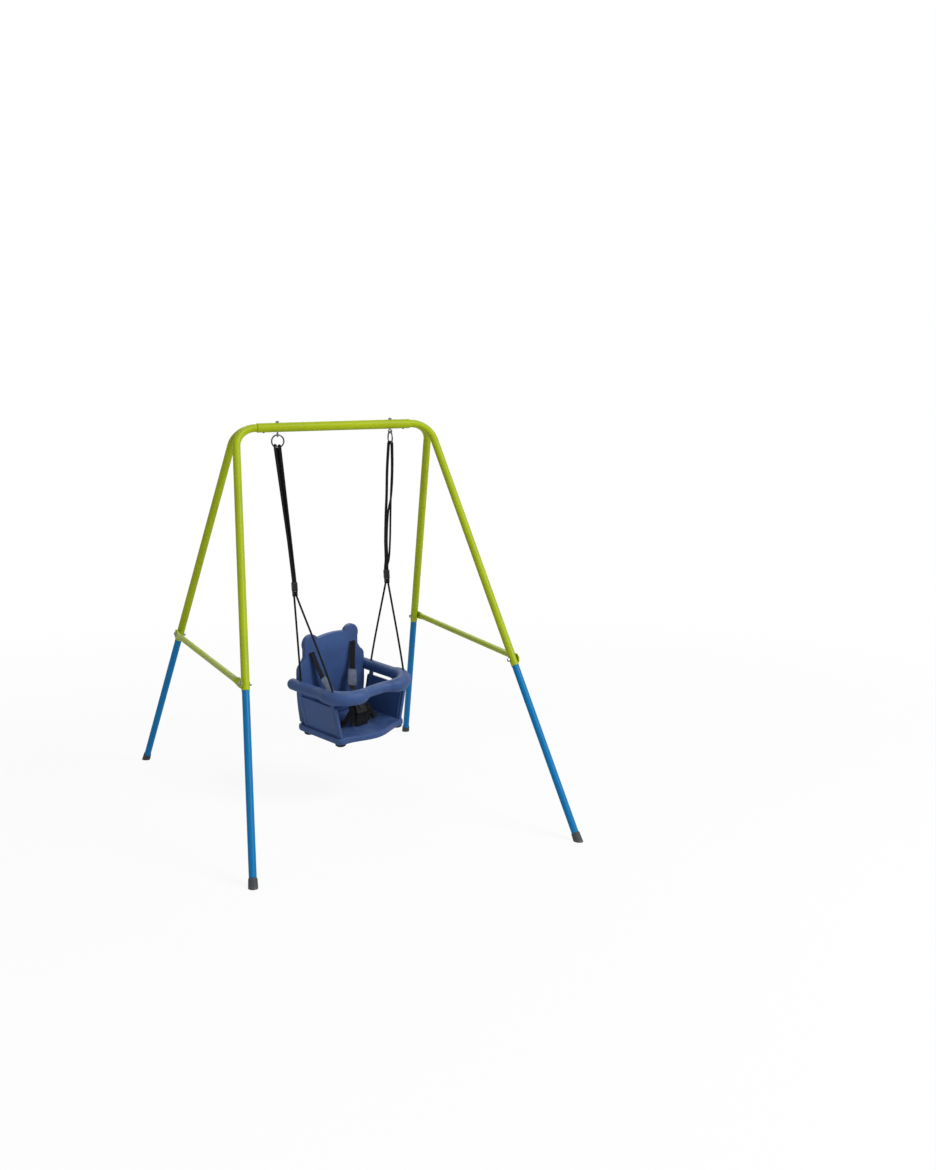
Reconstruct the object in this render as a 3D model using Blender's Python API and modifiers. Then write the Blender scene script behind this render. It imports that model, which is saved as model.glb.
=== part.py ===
"""Baby swing set: a steel A-frame, rope hangers and a moulded seat with a bear-shaped back.

World frame in metres, +Z up, floor at z = 0, crossbar along X, front of the set towards -Y.
The seat hangs slightly turned and tilted, so its pieces are modelled square in a seat frame of
their own and carried by an empty. Setting SEAT_TURN, SEAT_TILT and SEAT_LEAN to 0 squares it.
"""
import bpy
import bmesh
import math
from mathutils import Matrix, Vector

# Clearances
GAP = 0.0003
ROPE_CLEARANCE = 0.0007

# Frame, measured between tube axes
BAR_HEIGHT = 1.235
CORNER_HALF = 0.325
FOOT_HALF_WIDTH = 0.506
FOOT_HALF_DEPTH = 0.745
BEND_RADIUS = 0.072
SLEEVE_OD = 0.030
SLEEVE_HALF = 0.2575
SLEEVE_OVERLAP = 0.045
TUBE_OD = 0.025
TUBE_WALL = 0.0010
LOWER_WALL = 0.0012
UPPER_LEG = 0.873
LEG_OVERLAP = 0.055
BACK_LEG_START = 24.0

# Braces and joint bolts
BRACE_OD = 0.019
BRACE_WALL = 0.0010
BRACE_RISE = 0.023
BRACE_FLAT = 0.022
BRACE_TAPER = 0.028
BRACE_FLAT_THICK = 0.003
BRACE_TIP = 0.014
TIP_ROUND = ((0.0, 0.45), (0.003, 0.75), (0.008, 1.0))
BOLT_D = 0.006
BOLT_HEAD_D = 0.015
BOLT_HEAD_H = 0.0055
NUT_AF = 0.010
NUT_H = 0.005
SCREW_INSET = 0.022
SCREW_D = 0.004

# Foot caps
CAP_TOP_D = 0.0262
CAP_FOOT_D = 0.0284
CAP_LENGTH = 0.027
CAP_FLOOR = 0.0085
CAP_CUT = (0.2, 0.2, 0.1)

# Hangers
HANG_INSET = 0.0675
EYE_D = 0.016
EYE_WIRE = 0.0045
RING_D = 0.045
RING_WIRE = 0.005
EYE_NUT_AF = 0.010
EYE_NUT_H = 0.0045

# Ropes and adjusters
ROPE_D = 0.006
ROPE_PITCH = 0.0064
LOOP_SPREAD = 0.0045
BUNDLE_OUT = 0.0097
BUNDLE_IN = 0.0033
ROPE_LIFT = 0.0008
ADJUST_LEFT = (-0.1520, -0.0220, 0.6960)
ADJUST_RIGHT = (0.1790, 0.0220, 0.7100)
ADJUST_WALL = 0.0015
ADJUST_TOP = 0.042
EYE_TOP = 0.0128
EYE_SLOT = 0.0084
EYE_BAR_D = 0.009
WEB_D = 0.0096
SOCKET_DEPTH = 0.021
CROSS_FROM = 1.000
CROSS_TO = 0.945
CROSS_TOP = (0.0055, 0.0065, 0.0036)
CROSS_OVER = (-0.0032, 0.0)
CROSS_STAY = (0.0070, 0.0025)
CROSS_NEAR = (-0.0090, 0.0033)

# Seat pose in the world
SEAT_CENTRE = (0.0340, -0.0308, 0.4145)
SEAT_TURN = 22.5
SEAT_TILT = 4.5
SEAT_LEAN = 5.2

# Guard rail, in the seat frame: z = 0 is the top of its arms
GUARD_D = 0.038
LOBE_D = 0.048
GUARD_HALF = 0.155
GUARD_REAR = 0.118
GUARD_FRONT = 0.130
GUARD_CORNER = 0.080
GUARD_SETBACK = 0.016
GUARD_SLIM = 0.001
LOBE_DEPTH = (0.020, 0.060)
LOBE_WIDTH = (0.045, 0.085)
WAIST_WIDTH = (0.030, 0.060)
HOLE_DEPTH_HALF = 0.078

# Base
BASE_TOP = -0.160
BASE_THICK = 0.022
BASE_HALF = 0.143
BASE_FRONT = 0.100
BASE_TONGUE = 0.130
BASE_REAR = 0.122
BASE_CORNER = 0.020
BASE_EDGE = 0.006
BASE_SKIN = 0.0045
BASE_HOLE_HALF = 0.1235
STOP_D = 0.036
STOP_H = 0.009

# Side panels
PANEL_FRONT = 0.092
PANEL_REAR = 0.092
PANEL_TOP = -0.050
PANEL_THICK = 0.010
PANEL_CORNER = 0.007
PANEL_EDGE = 0.0015
COLUMN_D = 0.0145

# Backrest
BACK_FACE = 0.100
BACK_THICK = 0.018
BACK_HALF = 0.143
BACK_FOOT_HALF = 0.134
BACK_CORNER = 0.012
HIP_Z = -0.060
SHOULDER_Z = 0.050
SHOULDER_R = 0.030
NECK_HALF = 0.1155
NECK_Z = 0.080
HEAD_TOP = 0.126
EAR_X = 0.086
EAR_Z = 0.106
EAR_R = 0.032
BACK_EDGE = 0.004
SLOT_X = 0.088
SLOT_Z = 0.077
SLOT_W = 0.025
SLOT_H = 0.006
LAP_SLOT_X = 0.090
LAP_SLOT_Z = -0.138

# Harness
STRAP_W = 0.020
STRAP_T = 0.002
PAD_W = 0.036
PAD_L = 0.060
PAD_T = 0.014
PAD_HIGH = (0.066, 0.075, -0.006)
PAD_LOW = (0.044, 0.053, -0.061)
CROTCH_W = 0.048
CROTCH_T = 0.003
BUCKLE_W = 0.046
BUCKLE_H = 0.044
BUCKLE_T = 0.015
BUCKLE_EDGE = 0.0035
BUCKLE_AT = (0.0, -0.034, -0.098)
BUCKLE_TIP = 24.0
LUG_STEPS = (0.010, 0.005, 0.0)
STRAP_DROP = 0.15
LAP_RUN = ((0.094, 0.080, -0.1535), (0.096, 0.040, -0.1570), (0.090, 0.002, -0.1565),
           (0.068, -0.026, -0.1440))
BUTTON_D = 0.018
BUTTON_H = 0.0085
BUTTON_PROUD = 0.003
BUTTON_TRAVEL = 0.003
BUTTON_EDGE = 0.001

HANG_HALF = SLEEVE_HALF - HANG_INSET
UPRIGHT = Matrix(((1, 0, 0, 0), (0, 0, -1, 0), (0, 1, 0, 0), (0, 0, 0, 1)))
STANDING = Matrix(((0, 0, 1, 0), (1, 0, 0, 0), (0, 1, 0, 0), (0, 0, 0, 1)))

FRONT = -1
BACK = 1
LEFT = -1
RIGHT = 1
SIDE_NAMES = {LEFT: "left", RIGHT: "right"}
END_NAMES = {FRONT: "front", BACK: "back"}

for old in list(bpy.data.objects):
    bpy.data.objects.remove(old)

parts = bpy.data.collections.new("baby_swing_set")
guides = bpy.data.collections.new("cutters")
bpy.context.scene.collection.children.link(parts)
bpy.context.scene.collection.children.link(guides)


def material(name, colour, roughness, metallic=0.0):
    """A Principled material in the given colour."""
    made = bpy.data.materials.new(name)
    made.use_nodes = True
    shader = made.node_tree.nodes["Principled BSDF"]
    shader.inputs["Base Color"].default_value = (*colour, 1.0)
    shader.inputs["Roughness"].default_value = roughness
    shader.inputs["Metallic"].default_value = metallic
    made.diffuse_color = (*colour, 1.0)
    return made


GREEN = (0.40, 0.48, 0.04)
BLUE = (0.013, 0.19, 0.44)
SLATE = (0.06, 0.10, 0.24)
BLACK = (0.012, 0.012, 0.014)
STEEL = (0.55, 0.55, 0.56)
GREY = (0.12, 0.15, 0.18)


def new_object(name, data, group=parts):
    made = bpy.data.objects.new(name, data)
    group.objects.link(made)
    return made


def smooth(mesh):
    """Round faces shade smooth, with edges over 35 degrees kept sharp."""
    mesh.shade_smooth()
    mesh.set_sharp_from_angle(angle=math.radians(35))


def from_bmesh(name, bm, group=parts):
    mesh = bpy.data.meshes.new(name)
    bm.to_mesh(mesh)
    bm.free()
    smooth(mesh)
    return new_object(name, mesh, group)


def finish(piece, colour, roughness, metallic=0.0, parent=None):
    """Give a piece its own material and hang it on its parent empty without moving it."""
    piece.data.materials.clear()
    piece.data.materials.append(material(piece.name, colour, roughness, metallic))
    if parent is not None:
        piece.parent = parent
        piece.matrix_parent_inverse = parent.matrix_world.inverted()
    return piece


def axis_matrix(start, direction):
    """A frame at start whose Z axis runs along direction."""
    turn = Vector((0, 0, 1)).rotation_difference(Vector(direction)).to_matrix().to_4x4()
    return Matrix.Translation(start) @ turn


def rod(name, start, end, diameter, sides=16, group=parts, end_diameter=None):
    """A solid cylinder, or a cone, between two points."""
    start, end = Vector(start), Vector(end)
    bm = bmesh.new()
    last = diameter if end_diameter is None else end_diameter
    bmesh.ops.create_cone(bm, cap_ends=True, segments=sides, radius1=diameter / 2, radius2=last / 2,
                          depth=(end - start).length)
    bm.transform(axis_matrix((start + end) / 2, end - start))
    return from_bmesh(name, bm, group)


def block(name, size, centre, group=parts, edge=0.0):
    """A box, with its edges rounded where edge is given."""
    bm = bmesh.new()
    bmesh.ops.create_cube(bm, size=1.0)
    bm.transform(Matrix.Translation(centre) @ Matrix.Diagonal((*size, 1.0)))
    if edge:
        bmesh.ops.bevel(bm, geom=bm.edges[:], offset=edge, segments=2, affect="EDGES", profile=0.5,
                        material=-1)
    return from_bmesh(name, bm, group)


def rounded_path(points, radius, steps):
    """The points of a polyline with each inner corner replaced by an arc."""
    points = [Vector(p) for p in points]
    path = [points[0]]
    for before, corner, after in zip(points, points[1:], points[2:]):
        a = (corner - before).normalized()
        b = (after - corner).normalized()
        turn = a.angle(b)
        centre = corner + (b - a).normalized() * radius / math.cos(turn / 2)
        first = corner - a * radius * math.tan(turn / 2) - centre
        axis = a.cross(b).normalized()
        for i in range(steps + 1):
            path.append(centre + Matrix.Rotation(turn * i / steps, 3, axis) @ first)
    path.append(points[-1])
    return path


def curve_object(name, points, diameter, resolution, caps, radii, cyclic):
    curve = bpy.data.curves.new(name, "CURVE")
    curve.dimensions = "3D"
    curve.bevel_depth = diameter / 2
    curve.bevel_resolution = resolution
    curve.use_fill_caps = caps
    spline = curve.splines.new("POLY")
    spline.points.add(len(points) - 1)
    spline.use_cyclic_u = cyclic
    for i, point in enumerate(points):
        spline.points[i].co = (*point, 1.0)
        spline.points[i].radius = 1.0 if radii is None else radii[i]
    return curve


def mesh_of(name, curve, group):
    """A curve made a mesh object, with its loose caps welded on."""
    source = bpy.data.objects.new(name + "_curve", curve)
    guides.objects.link(source)
    bpy.context.view_layer.update()
    shown = source.evaluated_get(bpy.context.evaluated_depsgraph_get())
    mesh = bpy.data.meshes.new_from_object(shown)
    mesh.name = name
    place = source.matrix_world.copy()
    bpy.data.objects.remove(source)
    bm = bmesh.new()
    bm.from_mesh(mesh)
    bmesh.ops.remove_doubles(bm, verts=bm.verts[:], dist=0.000001)
    bmesh.ops.recalc_face_normals(bm, faces=bm.faces[:])
    bm.to_mesh(mesh)
    bm.free()
    smooth(mesh)
    made = new_object(name, mesh, group)
    made.matrix_world = place
    return made


def cable(name, points, diameter, resolution=2, group=parts, radii=None):
    """A solid round form along a path."""
    return mesh_of(name, curve_object(name, points, diameter, resolution, True, radii, False), group)


def hollow(name, points, diameter, wall, resolution=5):
    """An open-ended tube along a path, its wall inside the given outer diameter."""
    made = mesh_of(name, curve_object(name, points, diameter, resolution, False, None, False), parts)
    shell = made.modifiers.new("wall", "SOLIDIFY")
    shell.thickness = wall
    shell.offset = -1.0
    shell.use_even_offset = True
    return made


def slab(name, outline, thickness, place, edge=0.0, group=parts):
    """A flat outline made a plate, centred on its plane, with rounded edges where edge is given."""
    curve = bpy.data.curves.new(name, "CURVE")
    curve.dimensions = "2D"
    curve.fill_mode = "BOTH"
    curve.extrude = thickness / 2 - edge
    curve.bevel_depth = edge
    curve.bevel_resolution = 1
    curve.offset = -edge
    spline = curve.splines.new("POLY")
    spline.points.add(len(outline) - 1)
    spline.use_cyclic_u = True
    for i, (x, y) in enumerate(outline):
        spline.points[i].co = (x, y, 0.0, 1.0)
    made = mesh_of(name, curve, group)
    made.data.transform(place)
    return made


def torus(name, ring_d, wire_d, place, segments, group=parts):
    """A wire ring in the XZ plane of its placing matrix."""
    radius = (ring_d - wire_d) / 2
    angles = [math.tau * i / segments for i in range(segments)]
    points = [Vector((radius * math.cos(a), 0.0, radius * math.sin(a))) for a in angles]
    made = mesh_of(name, curve_object(name, points, wire_d, 2, False, None, True), group)
    made.data.transform(place)
    return made


def turned(name, profile, place, sides=16, group=parts):
    """A turned form: the profile of (radius, height) pairs runs from its top to its bottom."""
    mesh = bpy.data.meshes.new(name)
    points = [(r, 0.0, z) for r, z in profile]
    mesh.from_pydata(points, [(i, i + 1) for i in range(len(points) - 1)], [])
    made = new_object(name, mesh, group)
    spin = made.modifiers.new("turn", "SCREW")
    spin.steps = sides
    spin.render_steps = sides
    spin.use_merge_vertices = True
    spin.merge_threshold = 0.00001
    made.matrix_world = place
    return made


def combine(piece, tool, operation):
    """Join or cut a piece with a tool, which is kept as a guide."""
    for group in list(tool.users_collection):
        group.objects.unlink(tool)
    guides.objects.link(tool)
    tool.hide_render = True
    tool.display_type = "WIRE"
    change = piece.modifiers.new(operation.lower(), "BOOLEAN")
    change.operation = operation
    change.object = tool
    change.solver = "EXACT"
    return piece


def cut(piece, tool):
    return combine(piece, tool, "DIFFERENCE")


def join(piece, tool):
    return combine(piece, tool, "UNION")


def drill(piece, start, end, diameter, sides=12):
    """A round hole through a piece."""
    return cut(piece, rod(piece.name + "_hole", start, end, diameter, sides, guides))


def arc(cx, cy, radius, start, end, steps):
    angles = [math.radians(start + (end - start) * i / steps) for i in range(steps + 1)]
    return [(cx + radius * math.cos(a), cy + radius * math.sin(a)) for a in angles]


def ramp(value, low, high):
    """A smooth step from 0 at low to 1 at high."""
    t = min(max((value - low) / (high - low), 0.0), 1.0)
    return t * t * (3 - 2 * t)


def ring_loft(name, rings, closed):
    """A skin over a row of rings, closed on itself or capped at both ends."""
    bm = bmesh.new()
    rows = [[bm.verts.new(p) for p in ring] for ring in rings]
    pairs = list(zip(rows, rows[1:]))
    if closed:
        pairs.append((rows[-1], rows[0]))
    for lower, upper in pairs:
        count = len(lower)
        for i in range(count):
            j = (i + 1) % count
            bm.faces.new((lower[i], lower[j], upper[j], upper[i]))
    if not closed:
        bm.faces.new(rows[0][::-1])
        bm.faces.new(rows[-1])
    bmesh.ops.recalc_face_normals(bm, faces=bm.faces[:])
    return from_bmesh(name, bm)


def ribbon(name, points, width, thickness, facing, last_facing=None):
    """A flat strap along a path, its broad side turned from one facing direction to another."""
    points = [Vector(p) for p in points]
    first = Vector(facing)
    rings = []
    for i, point in enumerate(points):
        facing = first.lerp(last_facing or first, ramp(i / (len(points) - 1), 0.4, 0.8))
        ahead = points[min(i + 1, len(points) - 1)]
        behind = points[max(i - 1, 0)]
        run = (ahead - behind).normalized()
        across = run.cross(facing).normalized()
        up = across.cross(run).normalized()
        corners = ((-1, -1), (1, -1), (1, 1), (-1, 1))
        rings.append([point + across * width / 2 * a + up * thickness / 2 * b for a, b in corners])
    return ring_loft(name, rings, False)


def empty(name, place, parent=None):
    made = bpy.data.objects.new(name, None)
    guides.objects.link(made)
    made.matrix_world = place
    bpy.context.view_layer.update()
    if parent is not None:
        made.parent = parent
        made.matrix_parent_inverse = parent.matrix_world.inverted()
        bpy.context.view_layer.update()
    return made


def corner(side):
    return Vector((side * CORNER_HALF, 0.0, BAR_HEIGHT))


def leg_run(side, end):
    """The direction down a leg, from its corner to its foot."""
    return Vector((side * (FOOT_HALF_WIDTH - CORNER_HALF), end * FOOT_HALF_DEPTH, -BAR_HEIGHT)).normalized()


def leg_length(side, end):
    return (Vector((side * FOOT_HALF_WIDTH, end * FOOT_HALF_DEPTH, 0.0)) - corner(side)).length


def frame_normal(side):
    """The outward normal of the plane that holds both legs of one side."""
    return Vector((side * BAR_HEIGHT, 0.0, FOOT_HALF_WIDTH - CORNER_HALF)).normalized()


def bolt_point(side, end):
    return corner(side) + leg_run(side, end) * (UPPER_LEG - BRACE_RISE)


def corner_path(side, end):
    """From inside the sleeve, round the corner and down to the end of the upper tube."""
    start = Vector((side * (SLEEVE_HALF - SLEEVE_OVERLAP), 0.0, BAR_HEIGHT))
    finish_at = corner(side) + leg_run(side, end) * UPPER_LEG
    return rounded_path([start, corner(side), finish_at], BEND_RADIUS, 8)


def bolt_hole(piece, side, end):
    centre = bolt_point(side, end)
    reach = frame_normal(side) * TUBE_OD
    drill(piece, centre - reach, centre + reach, BOLT_D + 2 * GAP)


def build_crossbar():
    bar = hollow("crossbar", [(-SLEEVE_HALF, 0, BAR_HEIGHT), (SLEEVE_HALF, 0, BAR_HEIGHT)],
                 SLEEVE_OD, (SLEEVE_OD - TUBE_OD) / 2 - GAP, resolution=8)
    for side in (LEFT, RIGHT):
        x = side * HANG_HALF
        drill(bar, (x, 0, BAR_HEIGHT - SLEEVE_OD), (x, 0, BAR_HEIGHT + SLEEVE_OD), EYE_WIRE + 2 * GAP)
        x = side * (SLEEVE_HALF - SCREW_INSET)
        drill(bar, (x, 0, BAR_HEIGHT - SLEEVE_OD), (x, 0, BAR_HEIGHT), SCREW_D + 2 * GAP)
    finish(bar, GREEN, 0.35, 0.0)


def build_upper_legs():
    for side in (LEFT, RIGHT):
        front = hollow("corner_leg_" + SIDE_NAMES[side], corner_path(side, FRONT), TUBE_OD, TUBE_WALL)
        x = side * (SLEEVE_HALF - SCREW_INSET)
        drill(front, (x, 0, BAR_HEIGHT - SLEEVE_OD), (x, 0, BAR_HEIGHT), SCREW_D + 2 * GAP)
        bolt_hole(front, side, FRONT)
        finish(front, GREEN, 0.35)

        path = corner_path(side, BACK)
        turn = Vector((side, 0, 0)).angle(leg_run(side, BACK))
        skip = 1 + round(math.radians(BACK_LEG_START) / turn * 8)
        rear = hollow("back_leg_" + SIDE_NAMES[side], path[skip:], TUBE_OD, TUBE_WALL)
        cut(rear, cable(rear.name + "_saddle", corner_path(side, FRONT), TUBE_OD + 2 * GAP, 5, guides))
        bolt_hole(rear, side, BACK)
        finish(rear, GREEN, 0.35)


def build_lower_legs():
    tube = TUBE_OD - 2 * (TUBE_WALL + GAP)
    for side in (LEFT, RIGHT):
        for end in (FRONT, BACK):
            run = leg_run(side, end)
            top = corner(side) + run * (UPPER_LEG - LEG_OVERLAP)
            foot = corner(side) + run * leg_length(side, end)
            label = END_NAMES[end] + "_" + SIDE_NAMES[side]
            leg = hollow("lower_leg_" + label, [top, foot - run * CAP_FLOOR], tube, LOWER_WALL)
            bolt_hole(leg, side, end)
            finish(leg, BLUE, 0.35)

            flared = 2 * CAP_FOOT_D - CAP_TOP_D
            cap = rod("foot_cap_" + label, foot + run * CAP_LENGTH, foot - run * CAP_LENGTH, flared, 20,
                      parts, CAP_TOP_D)
            drill(cap, foot - run * (CAP_FLOOR - GAP), foot - run * 2 * CAP_LENGTH, tube + 2 * GAP, 16)
            cut(cap, block(cap.name + "_floor", CAP_CUT, foot - Vector((0, 0, CAP_CUT[2] / 2)), guides))
            finish(cap, BLACK, 0.6)


def brace_ring(centre, across, normal, flat, half_width, inset, sides=12):
    """One section of a brace: round where flat is 0, pressed to an oval slot where flat is 1."""
    half = BRACE_OD / 2
    wide = half + (half_width - half) * flat - inset
    thick = half + (BRACE_FLAT_THICK / 2 - half) * flat - inset
    power = 1.0 - 0.6 * flat
    ring = []
    for i in range(sides):
        a = math.tau * (i + 0.5) / sides
        c, s = math.cos(a), math.sin(a)
        x = math.copysign(abs(c) ** power, c) * wide
        y = math.copysign(abs(s) ** power, s) * thick
        ring.append(centre + across * x + normal * y)
    return ring


def build_braces():
    """Tubes pressed flat at both ends, bolted to the outer side of the legs."""
    half_width = math.pi * BRACE_OD / 4 - BRACE_FLAT_THICK / 4
    for side in (LEFT, RIGHT):
        normal = frame_normal(side)
        across = normal.cross(Vector((0, 1, 0))).normalized()
        middle = bolt_point(side, FRONT)
        half = abs(middle.y)
        middle.y = 0.0
        middle += normal * (TUBE_OD / 2 + GAP + BRACE_FLAT_THICK / 2)
        tip = half + BRACE_TIP
        stations = [(tip - back, 1.0, share) for back, share in TIP_ROUND]
        stations += [(half - BRACE_FLAT - BRACE_TAPER * t, 1.0 - ramp(t, 0, 1), 1.0)
                     for t in (0.0, 0.25, 0.5, 0.75, 1.0)]
        rows = [(-y, flat, share) for y, flat, share in stations]
        rows += [(y, flat, share) for y, flat, share in reversed(stations)]
        skins = []
        for inset in (0.0, BRACE_WALL):
            skins.append([brace_ring(middle + Vector((0, y, 0)), across, normal, flat,
                                     half_width * share, inset) for y, flat, share in rows])
        brace = ring_loft("brace_" + SIDE_NAMES[side], skins[0] + skins[1][::-1], True)
        for end in (FRONT, BACK):
            bolt_hole(brace, side, end)
        finish(brace, GREEN, 0.35)


def build_joint_bolts():
    seat = TUBE_OD / 2 + 2 * GAP + BRACE_FLAT_THICK
    nut_seat = -(TUBE_OD / 2 + GAP)
    for side in (LEFT, RIGHT):
        for end in (FRONT, BACK):
            label = END_NAMES[end] + "_" + SIDE_NAMES[side]
            place = axis_matrix(bolt_point(side, end), frame_normal(side))
            head = BOLT_HEAD_D / 2
            profile = [(0, seat + BOLT_HEAD_H), (head * 0.45, seat + BOLT_HEAD_H * 0.92),
                       (head * 0.8, seat + BOLT_HEAD_H * 0.62), (head, seat + BOLT_HEAD_H * 0.2),
                       (head, seat), (BOLT_D / 2, seat), (BOLT_D / 2, nut_seat - NUT_H - BOLT_D / 4),
                       (0, nut_seat - NUT_H - BOLT_D / 4)]
            finish(turned("joint_bolt_" + label, profile, place, 12), STEEL, 0.3, 1.0)
            nut = rod("joint_nut_" + label, place @ Vector((0, 0, nut_seat)),
                      place @ Vector((0, 0, nut_seat - NUT_H)), NUT_AF / math.cos(math.pi / 6), 6)
            below = place @ Vector((0, 0, nut_seat - 2 * NUT_H))
            drill(nut, place.translation, below, BOLT_D + 2 * GAP)
            finish(nut, STEEL, 0.35, 1.0)
        x = side * (SLEEVE_HALF - SCREW_INSET)
        under = SLEEVE_OD / 2 + GAP
        place = Matrix.Translation((x, 0, BAR_HEIGHT)) @ Matrix.Rotation(math.pi, 4, "X")
        profile = [(0, under + SCREW_D * 0.6), (SCREW_D * 0.6, under + SCREW_D * 0.5),
                   (SCREW_D, under + SCREW_D * 0.1), (SCREW_D, under), (SCREW_D / 2, under),
                   (SCREW_D / 2, TUBE_OD / 4), (0, TUBE_OD / 4)]
        finish(turned("sleeve_screw_" + SIDE_NAMES[side], profile, place, 10), STEEL, 0.3, 1.0)


def eye_centre(side):
    return Vector((side * HANG_HALF, 0.0, BAR_HEIGHT - SLEEVE_OD / 2 - GAP - EYE_D / 2))


def ring_top(side):
    """The middle of the ring's top wire, where it lies in the eye."""
    low = eye_centre(side) - Vector((0, 0, (EYE_D - EYE_WIRE) / 2))
    return low + Vector((0, 0, (EYE_WIRE + RING_WIRE) / 2 + GAP))


def ring_centre(side):
    return ring_top(side) - Vector((0, 0, (RING_D - RING_WIRE) / 2))


def swing_pivot(side):
    """The left ring turns on its own top wire, the right ring on the wire of its eye."""
    if side == LEFT:
        return ring_top(side)
    return eye_centre(side) - Vector((0, 0, (EYE_D - EYE_WIRE) / 2))


def build_hangers(swing):
    """On the left the eye stands across the bar, on the right along it, with the ring turned to suit."""
    quarter = Matrix.Rotation(math.pi / 2, 4, "Z")
    for side in (LEFT, RIGHT):
        label = SIDE_NAMES[side]
        centre = eye_centre(side)
        spin = quarter if side == LEFT else Matrix.Identity(4)
        eye = torus("eye_bolt_" + label, EYE_D, EYE_WIRE, Matrix.Translation(centre) @ spin, 16)
        nut_top = BAR_HEIGHT + SLEEVE_OD / 2 + GAP + EYE_NUT_H
        start = centre + Vector((0, 0, (EYE_D - EYE_WIRE) / 2))
        shank = rod(eye.name + "_shank", start, (centre.x, 0, nut_top + EYE_WIRE / 4), EYE_WIRE * 0.98, 12)
        finish(join(eye, shank), STEEL, 0.25, 1.0)
        nut = rod("eye_nut_" + label, (centre.x, 0, nut_top - EYE_NUT_H), (centre.x, 0, nut_top),
                  EYE_NUT_AF / math.cos(math.pi / 6), 6)
        drill(nut, (centre.x, 0, nut_top - 2 * EYE_NUT_H), (centre.x, 0, nut_top + EYE_NUT_H),
              EYE_WIRE + 2 * GAP)
        finish(nut, STEEL, 0.3, 1.0)
        spin = Matrix.Identity(4) if side == LEFT else quarter
        place = Matrix.Translation(ring_centre(side)) @ spin
        ring = torus("hang_ring_" + label, RING_D, RING_WIRE, place, 24)
        finish(ring, STEEL, 0.2, 1.0, swing)


def adjust_frame(side):
    """The adjuster's frame: X along the rocking axis, Z up, origin in the middle of its eye bar."""
    left, right = Vector(ADJUST_LEFT), Vector(ADJUST_RIGHT)
    along = (right - left).normalized()
    up = (Vector((0, 0, 1)) - along * along.z).normalized()
    back = up.cross(along)
    turn = Matrix((along, back, up)).transposed().to_4x4()
    return Matrix.Translation(left if side == LEFT else right) @ turn


def build_adjusters(swing):
    pocket = ROPE_PITCH + ROPE_D + 2 * GAP
    width = pocket + 2 * ADJUST_WALL
    for side in (LEFT, RIGHT):
        place = adjust_frame(side)
        head = block("rope_adjuster_" + SIDE_NAMES[side], (width, width, ADJUST_TOP - EYE_TOP),
                     (0, 0, (ADJUST_TOP + EYE_TOP) / 2), parts, ADJUST_WALL * 0.8)
        web = WEB_D / 2
        outline = arc(0, 0, web, 180, 360, 8) + [(web, EYE_TOP + web), (-web, EYE_TOP + web)]
        cheeks = slab(head.name + "_cheeks", outline, width - 2 * GAP, STANDING)
        join(head, cheeks)
        slot = block(head.name + "_slot", (EYE_SLOT, 2 * width, EYE_TOP + web),
                     (0, 0, (EYE_TOP - web) / 2), guides)
        cut(head, slot)
        bar = width / 2 - ADJUST_WALL / 2
        join(head, rod(head.name + "_bar", (-bar, 0, 0), (bar, 0, 0), EYE_BAR_D, 16))
        socket_floor = ADJUST_TOP - SOCKET_DEPTH
        cut(head, block(head.name + "_socket", (pocket, pocket, 2 * SOCKET_DEPTH),
                        (0, 0, socket_floor + SOCKET_DEPTH), guides))
        for piece in [head] + [m.object for m in head.modifiers if m.type == "BOOLEAN"]:
            piece.matrix_world = place
        finish(head, BLACK, 0.45, 0.0, swing)


def socket_points(side, x_sign, y_sign):
    """The two lowest points of a strand, in its corner of the adjuster's socket."""
    place = adjust_frame(side)
    x, y = x_sign * ROPE_PITCH / 2, y_sign * ROPE_PITCH / 2
    mouth = place @ Vector((x, y, ADJUST_TOP + ROPE_D))
    floor = place @ Vector((x, y, ADJUST_TOP - SOCKET_DEPTH + GAP))
    return [mouth, floor]


def left_loop(low, sign):
    """One of two loops side by side over the left ring, front strands outside and rear strands inside."""
    over = (RING_WIRE + ROPE_D) / 2 + GAP
    radius = (RING_D - RING_WIRE) / 2
    loop = []
    for c, s in arc(0, 0, over, 0, 180, 8):
        x = (BUNDLE_OUT + BUNDLE_IN) / 2 - (BUNDLE_OUT - BUNDLE_IN) / 2 * c / over
        loop.append(low + Vector((sign * x, c, s + radius - math.sqrt(radius ** 2 - x ** 2))))
    return loop


def right_loop(low, sign):
    """One of two loops over the right ring, its strands to both sides of the wire."""
    over = (RING_WIRE + ROPE_D) / 2 + GAP
    return [low + Vector((c, sign * LOOP_SPREAD, s)) for c, s in arc(0, 0, over, 0, 180, 8)]


def crossing(low, line, sign):
    """The bends of a right rope's two strands: the front one crosses over to the other bundle."""
    upper = low + line * ((CROSS_FROM - low.z) / line.z)
    lower = low + line * ((CROSS_TO - low.z) / line.z)
    far, near, depth = CROSS_TOP
    over = CROSS_OVER if sign < 0 else CROSS_STAY
    stay = Vector((CROSS_NEAR[0], sign * CROSS_NEAR[1], 0.0))
    return ([upper + Vector((far, sign * depth, 0.0)), lower + Vector((*over, 0.0))],
            [upper + Vector((-near, sign * depth, 0.0)), lower + stay])


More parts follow.
